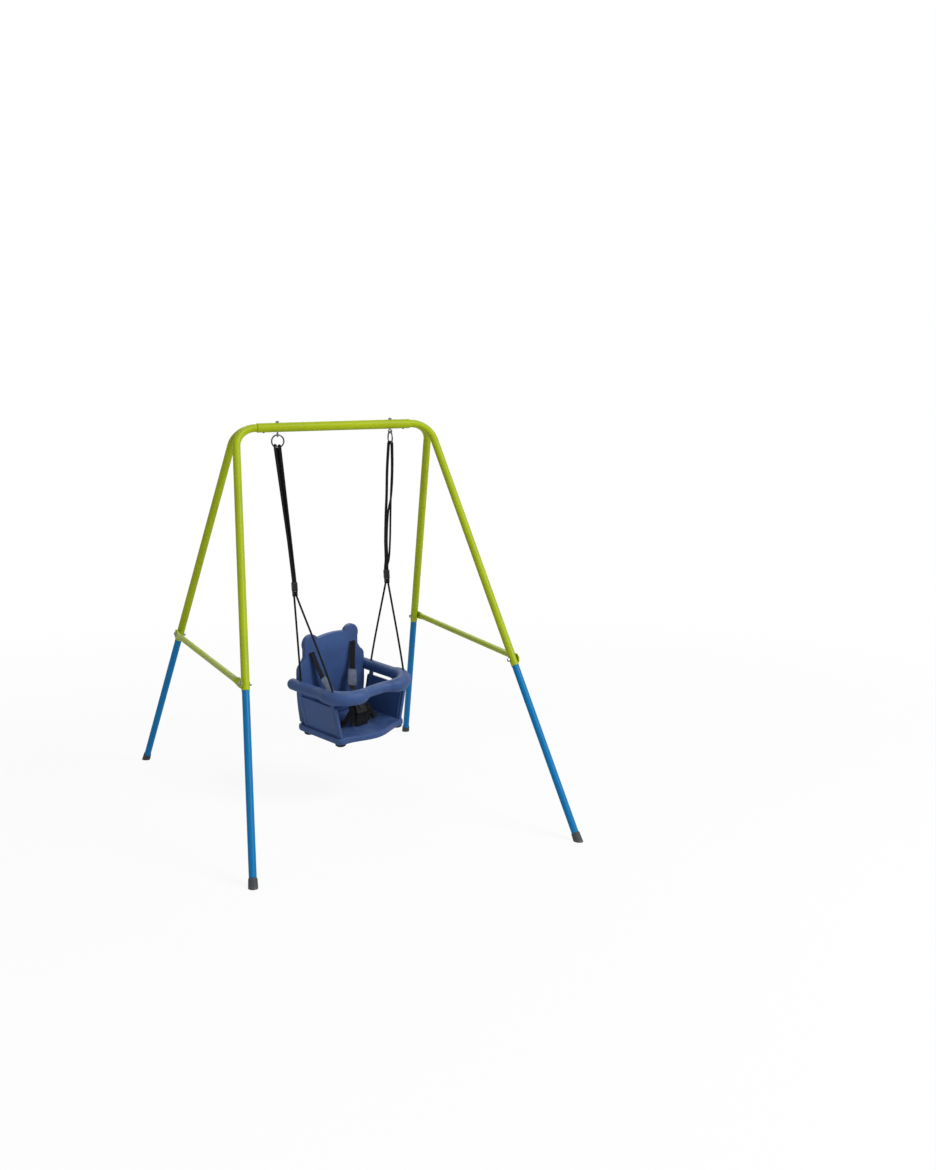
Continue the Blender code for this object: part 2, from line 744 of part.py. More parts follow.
def build_hanging_ropes(swing):
    """Two ropes over each ring, four strands into the adjuster."""
    for side in (LEFT, RIGHT):
        low = ring_centre(side) - Vector((0, 0, (RING_D - RING_WIRE) / 2 - ROPE_LIFT))
        line = adjust_frame(side).translation - low
        for label, sign in (("front", -1), ("back", 1)):
            if side == LEFT:
                loop = left_loop(low, sign)
                first, last = (sign, 1), (sign, -1)
                ways = ([], [])
            else:
                loop = right_loop(low, sign)
                first, last = (1, sign), (-1, sign)
                ways = crossing(low, line, sign)
            points = socket_points(side, *first)[::-1] + ways[0][::-1] + loop + ways[1]
            points += socket_points(side, *last)
            rope = cable("hanging_rope_" + label + "_" + SIDE_NAMES[side], points, ROPE_D, 2)
            finish(rope, BLACK, 0.9, 0.0, swing)


def seat_matrix():
    turn = Matrix.Rotation(math.radians(SEAT_TURN), 4, "Z")
    tilt = Matrix.Rotation(-math.radians(SEAT_TILT), 4, "Y")
    lean = Matrix.Rotation(math.radians(SEAT_LEAN), 4, "X")
    return Matrix.Translation(SEAT_CENTRE) @ turn @ tilt @ lean


def guard_radius(x, y):
    """The rail swells into a lobe round each front corner and is slimmest in the middle."""
    lobe = ramp(-y, *LOBE_DEPTH) * ramp(abs(x), *LOBE_WIDTH)
    slim = ramp(abs(x), *WAIST_WIDTH)
    return GUARD_D / 2 + (LOBE_D - GUARD_D) / 2 * lobe - GUARD_SLIM * (1 - slim)


def guard_path():
    """Plan points of the rail's centre line from the left rear end to the right, with its radii."""
    inner = GUARD_HALF - GUARD_CORNER
    half = [(0.0, -GUARD_FRONT), (inner * 0.35, -GUARD_FRONT), (inner * 0.7, -GUARD_FRONT)]
    half += arc(inner, GUARD_CORNER - GUARD_FRONT, GUARD_CORNER, -90, 0, 8)
    straight = GUARD_REAR - (GUARD_CORNER - GUARD_FRONT)
    half += [(GUARD_HALF, GUARD_REAR - straight * share) for share in (0.66, 0.33, 0.0)]
    radii = [guard_radius(x, y) for x, y in half]
    half = [(x, y + GUARD_SETBACK * (1 - ramp(abs(x), WAIST_WIDTH[0], LOBE_WIDTH[1]))) for x, y in half]
    for angle in (25, 50, 70, 85):
        half.append((GUARD_HALF, GUARD_REAR + GUARD_D / 2 * math.sin(math.radians(angle))))
        radii.append(GUARD_D / 2 * math.cos(math.radians(angle)))
    height = -GUARD_D / 2
    right = [Vector((x, y, height)) for x, y in half]
    left = [Vector((-x, y, height)) for x, y in half[1:]]
    return left[::-1] + right, radii[1:][::-1] + radii


def guard_body(name, group, grow):
    path, radii = guard_path()
    widest = LOBE_D / 2
    return cable(name, path, 2 * widest, 4, group, [(r + grow) / widest for r in radii])


def rope_line(side, end):
    """Where a seat rope leaves the guard's underside and where it leaves the base's."""
    y = end * HOLE_DEPTH_HALF
    high = Vector((side * GUARD_HALF, y, -GUARD_D / 2 - guard_radius(GUARD_HALF, y)))
    low = Vector((side * BASE_HOLE_HALF, y, BASE_TOP - BASE_THICK))
    return high, low


def build_guard(seat):
    guard = guard_body("guard_rail", parts, 0.0)
    for side in (LEFT, RIGHT):
        for end in (FRONT, BACK):
            x, y = side * GUARD_HALF, end * HOLE_DEPTH_HALF
            drill(guard, (x, y, -0.1), (x, y, 0.05), ROPE_D + 2 * ROPE_CLEARANCE)
    place_all(guard)
    finish(guard, SLATE, 0.45, 0.0, seat)


def place_all(piece):
    """Carry a piece that was modelled square, with its guides, into the hanging seat's frame."""
    for item in [piece] + [m.object for m in piece.modifiers if m.type == "BOOLEAN"]:
        item.matrix_world = seat_matrix() @ item.matrix_world


def base_outline():
    """Half the plan of the base, mirrored: square rear, straight sides and a bowed front."""
    r = BASE_CORNER
    rise = BASE_TONGUE - BASE_FRONT
    front = [(x, -BASE_FRONT - rise * math.cos(math.pi * x / (2 * (BASE_HALF - r))) ** 2)
             for x in [(BASE_HALF - r) * i / 8 for i in range(8)]]
    side = arc(BASE_HALF - r, r - BASE_FRONT, r, -90, 0, 4)
    rear = arc(BASE_HALF - r, BASE_REAR - r, r, 0, 90, 4)
    right = front + side + rear
    left = [(-x, y) for x, y in right[:0:-1]]
    return right + left


def build_base(seat):
    middle = BASE_TOP - BASE_THICK / 2
    base = slab("seat_base", base_outline(), BASE_THICK, Matrix.Translation((0, 0, middle)), BASE_EDGE)
    rib = BASE_SKIN
    boss = STOP_D + rib
    inner = BASE_HALF - boss
    depth = BASE_THICK - BASE_SKIN
    low = BASE_TOP - BASE_THICK - 0.01
    height = depth + 0.01
    rows = ((-BASE_FRONT + rib, -rib / 2), (rib / 2, BASE_REAR - 2 * rib))
    for near, far in rows:
        for side in (LEFT, RIGHT):
            size = (inner - rib, far - near, height)
            centre = (side * (inner + rib / 2) / 2, (near + far) / 2, low + height / 2)
            cut(base, block(base.name + "_pocket", size, centre, guides))
    for side in (LEFT, RIGHT):
        size = (BASE_HALF - rib - inner - rib, 2 * (HOLE_DEPTH_HALF - STOP_D / 2 - rib), height)
        centre = (side * (BASE_HALF - rib + inner + rib) / 2, 0.0, low + height / 2)
        cut(base, block(base.name + "_side_pocket", size, centre, guides))
        for end in (FRONT, BACK):
            high, under = rope_line(side, end)
            run = (high - under).normalized()
            drill(base, under - run * 0.02, under + run * 0.05, ROPE_D + 2 * ROPE_CLEARANCE)
    slot_y = crotch_foot().y
    slot = (CROTCH_W + 2 * ROPE_CLEARANCE, CROTCH_T + 2 * ROPE_CLEARANCE, 3 * CROTCH_T)
    cut(base, block(base.name + "_slot", slot, (0, slot_y, BASE_TOP), guides))
    place_all(base)
    finish(base, SLATE, 0.45, 0.0, seat)


def build_stops(seat):
    """A domed stop on the end of the rope under each corner of the base."""
    for side in (LEFT, RIGHT):
        for end in (FRONT, BACK):
            high, under = rope_line(side, end)
            run = (high - under).normalized()
            top = -GAP
            half = STOP_D / 2
            profile = [(0, top), (half * 0.9, top), (half, top - STOP_H * 0.2),
                       (half * 0.97, top - STOP_H * 0.5), (half * 0.72, top - STOP_H * 0.86),
                       (half * 0.3, top - STOP_H), (0, top - STOP_H)]
            label = END_NAMES[end] + "_" + SIDE_NAMES[side]
            stop = turned("rope_stop_" + label, profile, Matrix.Translation(under), 14)
            drill(stop, under - run * (STOP_H * 0.7 + GAP), under + run * 0.02, ROPE_D + 2 * GAP)
            place_all(stop)
            finish(stop, BLACK, 0.55, 0.0, seat)


def build_panels(seat):
    """A splayed plate a side, with a bored column for each rope standing out of both faces."""
    for side in (LEFT, RIGHT):
        high, low = rope_line(side, BACK)
        high.y = low.y = 0.0
        run = (high - low).normalized()
        start = low + run * ((BASE_TOP - low.z) / run.z)
        reach = (PANEL_TOP - BASE_TOP) / run.z
        r = PANEL_CORNER
        outline = [(-PANEL_FRONT, -BASE_THICK / 2), (PANEL_REAR, -BASE_THICK / 2)]
        outline += arc(PANEL_REAR - r, reach - r, r, 0, 90, 4)
        outline += arc(-PANEL_FRONT + r, reach - r, r, 90, 180, 4)
        facing = Vector((0, 1, 0)).cross(run)
        place = Matrix.Translation(start) @ Matrix((Vector((0, 1, 0)), run, facing)).transposed().to_4x4()
        panel = slab("side_panel_" + SIDE_NAMES[side], outline, PANEL_THICK, place, PANEL_EDGE)
        for end in (FRONT, BACK):
            high, low = rope_line(side, end)
            join(panel, rod(panel.name + "_column", low, high + (high - low) * 0.06, COLUMN_D, 16))
        for end in (FRONT, BACK):
            high, low = rope_line(side, end)
            drill(panel, low * 1.1 - high * 0.1, high * 1.2 - low * 0.2, ROPE_D + 2 * ROPE_CLEARANCE)
        floor = (4 * BASE_HALF, 4 * BASE_HALF, 4 * BASE_THICK)
        cut(panel, block(panel.name + "_foot", floor, (0, 0, BASE_TOP + GAP - 2 * BASE_THICK), guides))
        cut(panel, guard_body(panel.name + "_saddle", guides, GAP))
        place_all(panel)
        finish(panel, SLATE, 0.45, 0.0, seat)


def back_outline():
    """Half the outline of the back, mirrored: straight sides, shoulders, neck, ear and crown."""
    foot = BASE_TOP + GAP
    r = BACK_CORNER
    half = [(BACK_FOOT_HALF - r, foot)] + arc(BACK_FOOT_HALF - r, foot + r, r, -60, 0, 2)
    r = SHOULDER_R
    half += [(BACK_HALF, HIP_Z), (BACK_HALF, SHOULDER_Z - 1.3 * r)]
    half += arc(BACK_HALF - r, SHOULDER_Z - r, r, 12, 60, 4)
    half += [(NECK_HALF, (SHOULDER_Z + NECK_Z) / 2), (NECK_HALF - GAP, NECK_Z)]
    half += arc(EAR_X, EAR_Z, EAR_R, -24, 152, 10)
    edge = half[-1][0]
    dip = HEAD_TOP - half[-1][1]
    half += [(edge * share, HEAD_TOP - dip * share ** 2) for share in (0.75, 0.5, 0.25, 0.0)]
    left = [(-x, y) for x, y in half[-2::-1]]
    return half + left


def build_back(seat):
    place = Matrix.Translation((0, BACK_FACE + BACK_THICK / 2, 0)) @ UPRIGHT
    back = slab("seat_back", back_outline(), BACK_THICK, place, BACK_EDGE)
    cut(back, guard_body(back.name + "_saddle", guides, GAP))
    slot = (SLOT_W, 4 * BACK_THICK, SLOT_H)
    for side in (LEFT, RIGHT):
        cut(back, block(back.name + "_slot", slot, (side * SLOT_X, BACK_FACE, SLOT_Z), guides))
        cut(back, block(back.name + "_lap_slot", slot, (side * LAP_SLOT_X, BACK_FACE, LAP_SLOT_Z), guides))
    place_all(back)
    finish(back, SLATE, 0.45, 0.0, seat)


def buckle_matrix():
    return Matrix.Translation(BUCKLE_AT) @ Matrix.Rotation(-math.radians(BUCKLE_TIP), 4, "X")


def crotch_foot():
    """Where the crotch strap enters the base."""
    return Vector((0.0, BUCKLE_AT[1] - LUG_STEPS[0], BASE_TOP))


def pad_ends(side):
    """The middle of a pad's upper and lower end."""
    return Vector((side * PAD_HIGH[0], *PAD_HIGH[1:])), Vector((side * PAD_LOW[0], *PAD_LOW[1:]))


def strap_points(side):
    """From behind the back, through its slot, through the pad and down to the buckle's shoulder."""
    shoulder = side * (BUCKLE_W - STRAP_W - 2 * STRAP_T) / 2
    lugs = [buckle_matrix() @ Vector((shoulder, 0, BUCKLE_H / 2 + GAP + rise)) for rise in LUG_STEPS]
    high, low = pad_ends(side)
    slot = Vector((side * SLOT_X, BACK_FACE, SLOT_Z))
    behind = [slot + Vector((0, BACK_THICK + SLOT_W / 2, -SLOT_H)), slot + Vector((0, BACK_THICK, 0))]
    bend = slot.lerp(high, STRAP_DROP) - Vector((0, SLOT_H / 2, 0))
    return [*behind, slot - Vector((0, SLOT_H / 2, 0)), bend, high, low, *lugs]


def lap_points(side):
    """From the slot low in the back, along the base and up to the buckle's side."""
    edge = BUCKLE_W / 2 + GAP
    lugs = [buckle_matrix() @ Vector((side * (edge + rise), 0, -BUCKLE_H / 8)) for rise in LUG_STEPS]
    slot = Vector((side * LAP_SLOT_X, BACK_FACE, LAP_SLOT_Z))
    lying = [Vector((side * x, y, z)) for x, y, z in LAP_RUN]
    return [slot + Vector((0, BACK_THICK, 0)), slot - Vector((0, SLOT_H / 2, 0)), *lying, *lugs]


def build_harness(seat):
    facing = Vector((0, -0.6, 0.8))
    lap_facing = buckle_matrix().to_3x3() @ Vector((0, -1, 0))
    for side in (LEFT, RIGHT):
        label = SIDE_NAMES[side]
        strap = ribbon("shoulder_strap_" + label, strap_points(side), STRAP_W, STRAP_T, facing)
        place_all(strap)
        finish(strap, BLACK, 0.85, 0.0, seat)
        lap = ribbon("lap_strap_" + label, lap_points(side), STRAP_W, STRAP_T, (0, 0, 1), lap_facing)
        place_all(lap)
        finish(lap, BLACK, 0.85, 0.0, seat)

        high, low = pad_ends(side)
        run = (low - high).normalized()
        across = run.cross(facing).normalized()
        turn = Matrix((across, run, across.cross(run))).transposed().to_4x4()
        place = Matrix.Translation((high + low) / 2) @ turn
        pad = block("shoulder_pad_" + label, (PAD_W, PAD_L, PAD_T), (0, 0, 0), parts)
        soft = pad.modifiers.new("crown", "SUBSURF")
        soft.levels = 1
        soft.render_levels = 1
        bm = bmesh.new()
        bm.from_mesh(pad.data)
        bmesh.ops.subdivide_edges(bm, edges=bm.edges[:], cuts=2, use_grid_fill=True)
        for vert in bm.verts:
            x, y = vert.co.x / (PAD_W / 2), vert.co.y / (PAD_L / 2)
            vert.co.x *= 1.04 - 0.08 * (1 - y * y)
            vert.co.z *= 0.72 + 0.34 * (1 - x * x) * (1 - y * y)
        bm.to_mesh(pad.data)
        bm.free()
        smooth(pad.data)
        tunnel = block(pad.name + "_tunnel", (STRAP_W + 2 * GAP, 2 * PAD_L, STRAP_T + 2 * GAP),
                       (0, 0, 0), guides)
        cut(pad, tunnel)
        for item in (pad, tunnel):
            item.matrix_world = place
        place_all(pad)
        finish(pad, GREY, 0.9, 0.0, seat)

    foot = crotch_foot()
    neck = [buckle_matrix() @ Vector((0, 0, -BUCKLE_H / 2 - GAP - drop)) for drop in reversed(LUG_STEPS)]
    points = neck + [foot + Vector((0, 0, 4 * CROTCH_T)), foot - Vector((0, 0, CROTCH_T))]
    crotch = ribbon("crotch_strap", points, CROTCH_W, CROTCH_T, (0, -1, 0))
    place_all(crotch)
    finish(crotch, BLACK, 0.85, 0.0, seat)


def build_buckle(seat):
    """A buckle with a round press button in its front."""
    buckle = block("buckle", (BUCKLE_W, BUCKLE_T, BUCKLE_H), (0, 0, 0), parts, BUCKLE_EDGE)
    face = -BUCKLE_T / 2
    floor = face + BUTTON_H - BUTTON_PROUD + BUTTON_TRAVEL + GAP
    hole = rod("buckle_well", (0, 2 * face, 0), (0, floor, 0), BUTTON_D + 2 * GAP, 20, guides)
    cut(buckle, hole)
    for item in (buckle, hole):
        item.matrix_world = buckle_matrix()
    place_all(buckle)
    finish(buckle, BLACK, 0.4, 0.0, seat)

    lie = Matrix.Rotation(math.pi / 2, 4, "X")
    top = -face + BUTTON_PROUD
    half = BUTTON_D / 2
    profile = [(0, top), (half * 0.8, top), (half, top - BUTTON_EDGE), (half, top - BUTTON_H),
               (0, top - BUTTON_H)]
    button = turned("buckle_button", profile, buckle_matrix() @ lie, 20)
    place_all(button)
    carrier = empty("button_axis", seat_matrix() @ buckle_matrix(), seat)
    finish(button, BLACK, 0.35, 0.0, carrier)


def build_seat_ropes(seat):
    """One rope a side: up from the front stop, over the adjuster's eye bar and down to the rear stop."""
    over = (EYE_BAR_D + ROPE_D) / 2 + GAP
    world = seat_matrix()
    for side in (LEFT, RIGHT):
        frame = adjust_frame(side)
        ends = {}
        tangents = {}
        for end in (FRONT, BACK):
            high, under = rope_line(side, end)
            run = (high - under).normalized()
            mouth = Vector((high.x, high.y, guard_radius(high.x, high.y) - GUARD_D / 2 + ROPE_D))
            low = [under - run * STOP_H * 0.7, high, mouth]
            ends[end] = [world @ p for p in low]
            local = frame.inverted() @ ends[end][-1]
            distance = math.hypot(local.y, local.z)
            lean = math.acos(over / distance)
            tangents[end] = math.atan2(local.z, local.y) + end * lean
        first, last = tangents[FRONT] % math.tau, tangents[BACK]
        angles = [first + (last - first) * i / 8 for i in range(9)]
        crown = [frame @ Vector((0, over * math.cos(a), over * math.sin(a))) for a in angles]
        points = ends[FRONT] + crown + ends[BACK][::-1]
        rope = cable("seat_rope_" + SIDE_NAMES[side], points, ROPE_D, 2)
        finish(rope, BLACK, 0.9, 0.0, seat)


def build_swing_set():
    middle = (swing_pivot(LEFT) + swing_pivot(RIGHT)) / 2
    swing = empty("swing_axis", Matrix.Translation(middle))
    rock_at = (Vector(ADJUST_LEFT) + Vector(ADJUST_RIGHT)) / 2
    seat = empty("rock_axis", Matrix.Translation(rock_at), swing)
    build_crossbar()
    build_upper_legs()
    build_lower_legs()
    build_braces()
    build_joint_bolts()
    build_hangers(swing)
    build_adjusters(swing)
    build_hanging_ropes(swing)
    build_guard(seat)
    build_base(seat)
    build_stops(seat)
    build_panels(seat)
    build_back(seat)
    build_harness(seat)
    build_buckle(seat)
    build_seat_ropes(seat)
    bpy.context.view_layer.update()


build_swing_set()
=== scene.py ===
"""Looks of a baby swing set: powder-coated frame, braided ropes, moulded seat and webbing harness.

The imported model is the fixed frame, and each piece keeps its place and size. Its tubes, rings, guard rail
and back give way to smoother ones, its ropes to braid, and its straps and pads to sewn ones. The other
pieces keep their mesh and get a new finish. Lengths are metres, +Z is up.
"""
from __future__ import annotations

import logging
import math
from collections.abc import Callable
from dataclasses import dataclass
from enum import Enum

import bmesh
import bpy
from bmesh.types import BMesh
from bpy.types import Material, Node, NodeSocket, Object
from mathutils import Matrix, Vector
from mathutils.bvhtree import BVHTree


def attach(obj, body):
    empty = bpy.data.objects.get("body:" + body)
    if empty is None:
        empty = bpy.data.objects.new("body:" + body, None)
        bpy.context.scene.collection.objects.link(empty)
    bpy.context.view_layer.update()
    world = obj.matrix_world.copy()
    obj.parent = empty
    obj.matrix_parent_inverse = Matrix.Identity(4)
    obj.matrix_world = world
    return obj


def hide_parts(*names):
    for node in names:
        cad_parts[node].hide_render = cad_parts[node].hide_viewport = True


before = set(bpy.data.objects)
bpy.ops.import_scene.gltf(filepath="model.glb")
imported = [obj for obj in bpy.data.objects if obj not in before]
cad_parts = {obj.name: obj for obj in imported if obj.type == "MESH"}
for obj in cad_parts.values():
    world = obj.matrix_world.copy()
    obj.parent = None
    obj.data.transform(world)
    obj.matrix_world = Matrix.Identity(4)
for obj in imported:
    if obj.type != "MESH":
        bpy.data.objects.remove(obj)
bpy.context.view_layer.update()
log = logging.getLogger("swing_set")

Colour = tuple[float, float, float]
Point = tuple[float, float, float]
Pair = tuple[float, float]
Section = Callable[[float, float], Pair]


class Side(Enum):
    """The two sides of the set, as someone facing the seat sees them."""

    LEFT = -1
    RIGHT = 1

    @property
    def label(self) -> str:
        """The word that node names use."""
        return self.name.lower()


class End(Enum):
    """The two ends of the set along Y."""

    FRONT = -1
    BACK = 1

    @property
    def label(self) -> str:
        """The word that node names use."""
        return self.name.lower()


class Body(Enum):
    """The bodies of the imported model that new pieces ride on."""

    FRAME = "frame"
    SWING = "swing"
    SEAT = "seat"


SIDES = [side.label for side in Side]
CORNERS = [f"{end.label}_{side}" for end in End for side in SIDES]
# Sizes that more than one sub-assembly uses.
BAR_HEIGHT = 1.235
GAP = 0.0003
GUARD_HALF = 0.155
GUARD_RADIUS = 0.019
HOLE_HALF = 0.078
BACK_FACE = 0.100
# The strap slots on the right of the back, as X and Z.
SHOULDER_SLOT = (0.088, 0.077)
LAP_SLOT = (0.090, -0.138)
# The share of a thread's thickness that a stitch stands up.
STITCH_RISE = 0.8
WHITE = (1.0, 1.0, 1.0, 1.0)
# The shares of its length between which a twisting strap turns.
TWIST = (0.45, 0.80)
# Points closer together than this are one point.
WELD = 1e-6
# The shortest length that is divided by.
TINY = 1e-9
# The rings of faces in a rolled lip.
LIP_RINGS = 7
# The angle that leaves no edge of a piece sharp.
ALL_SMOOTH = 180.0
# The roughness of loose fibres.
FUZZ = 0.95


def ramp(value: float, low: float, high: float) -> float:
    """A smooth step from 0 at low to 1 at high."""
    share = min(max((value - low) / (high - low), 0.0), 1.0)
    return share * share * (3 - 2 * share)


def arc(radius: float, start: float, end: float, steps: int) -> list[Pair]:
    """Points on a circle about the origin, from one angle in degrees to another."""
    turns = [math.radians(start + (end - start) * i / steps) for i in range(steps + 1)]
    return [(radius * math.cos(turn), radius * math.sin(turn)) for turn in turns]


def srgb(red: int, green: int, blue: int) -> Colour:
    """Turn a screen colour into linear light.

    Args:
        red, green, blue: The colour on a scale from 0 to 255.

    Returns:
        The same colour as linear values from 0 to 1.
    """
    def channel(value: int) -> float:
        """One channel in linear light."""
        share = value / 255
        return share / 12.92 if share <= 0.04045 else ((share + 0.055) / 1.055) ** 2.4
    return channel(red), channel(green), channel(blue)


def linked(name: str, data: bpy.types.ID) -> Object:
    """Put a new object into the scene.

    Args:
        name: The object's name.
        data: Its mesh, lamp or camera.

    Returns:
        The new object.
    """
    made = bpy.data.objects.new(name, data)
    bpy.context.scene.collection.objects.link(made)
    return made


def meshed(name: str, bm: BMesh) -> bpy.types.Mesh:
    """Turn a bmesh into a mesh, and free the bmesh.

    Args:
        name: The mesh's name.
        bm: The bmesh.

    Returns:
        The new mesh.
    """
    mesh = bpy.data.meshes.new(name)
    bm.to_mesh(mesh)
    bm.free()
    return mesh


class Graph:
    """A light hand on one node tree, with short ways to add, set and join nodes."""

    spacing: tuple[int, int] = (180, 160)
    rows: int = 4

    def __init__(self, tree: bpy.types.NodeTree) -> None:
        """Take hold of a node tree."""
        self.tree = tree
        self.column = 0

    def add(self, kind: str, settings: dict[str, object] | None = None, **inputs: object) -> Node:
        """Add a node.

        Args:
            kind: Blender's node type without its ShaderNode prefix, or a full type name.
            settings: Properties to set on the node.
            inputs: Input sockets by name, spaces written as underscores, as a value or another socket.

        Returns:
            The new node.
        """
        full = kind if kind.startswith("Node") else "ShaderNode" + kind
        node = self.tree.nodes.new(full)
        self.column += 1
        node.location = (self.column * self.spacing[0], -(self.column % self.rows) * self.spacing[1])
        for name, value in (settings or {}).items():
            setattr(node, name, value)
        self.wire(node, **inputs)
        return node

    def wire(self, node: Node, **inputs: object) -> None:
        """Feed a node's inputs, by name with spaces written as underscores."""
        for name, value in inputs.items():
            self.feed(node.inputs[name.replace("_", " ")], value)

    def feed(self, socket: NodeSocket, value: object) -> None:
        """Set a socket to a value, or join it to another socket.

        Args:
            socket: The input socket.
            value: A value of the socket's kind, or an output socket.
        """
        if isinstance(value, NodeSocket):
            self.tree.links.new(value, socket)
        else:
            socket.default_value = value

    def math(self, operation: str, first: object, second: object = 0.0) -> NodeSocket:
        """Add a Math node.

        Args:
            operation: Blender's name for what it does.
            first, second: Values or sockets.

        Returns:
            The result's socket.
        """
        node = self.add("Math", {"operation": operation})
        self.feed(node.inputs[0], first)
        self.feed(node.inputs[1], second)
        return node.outputs[0]

    def plus(self, first: object, second: object) -> NodeSocket:
        """The sum of two values or sockets."""
        return self.math("ADD", first, second)

    def times(self, first: object, second: object) -> NodeSocket:
        """The product of two values or sockets."""
        return self.math("MULTIPLY", first, second)

    def spread(self, value: NodeSocket, low: float, high: float, start: float = 0.0,
               end: float = 1.0) -> NodeSocket:
        """Map one range onto another, with a smooth step.

        Args:
            value: The socket to map.
            low, high: The range it comes from.
            start, end: The range it goes to.

        Returns:
            The result's socket.
        """
        node = self.add("MapRange", {"interpolation_type": "SMOOTHSTEP"})
        self.feed(node.inputs[0], value)
        for index, number in enumerate((low, high, start, end)):
            node.inputs[index + 1].default_value = number
        return node.outputs[0]

    def noise(self, vector: NodeSocket, scale: object, detail: float = 2.0, rough: float = 0.5) -> NodeSocket:
        """The height of a Noise texture on a vector."""
        return self.add("TexNoise", Vector=vector, Scale=scale, Detail=detail, Roughness=rough).outputs[0]

    def blend(self, mask: object, first: object, second: object) -> NodeSocket:
        """Mix two colours.

        Args:
            mask: 0 for the first colour and 1 for the second, as a value or a socket.
            first, second: Colours or sockets.

        Returns:
            The result's socket.
        """
        node = self.add("Mix", {"data_type": "RGBA"})
        self.feed(node.inputs[0], mask)
        for socket, colour in ((node.inputs[6], first), (node.inputs[7], second)):
            self.feed(socket, (*colour, 1.0) if isinstance(colour, tuple) else colour)
        return node.outputs[2]


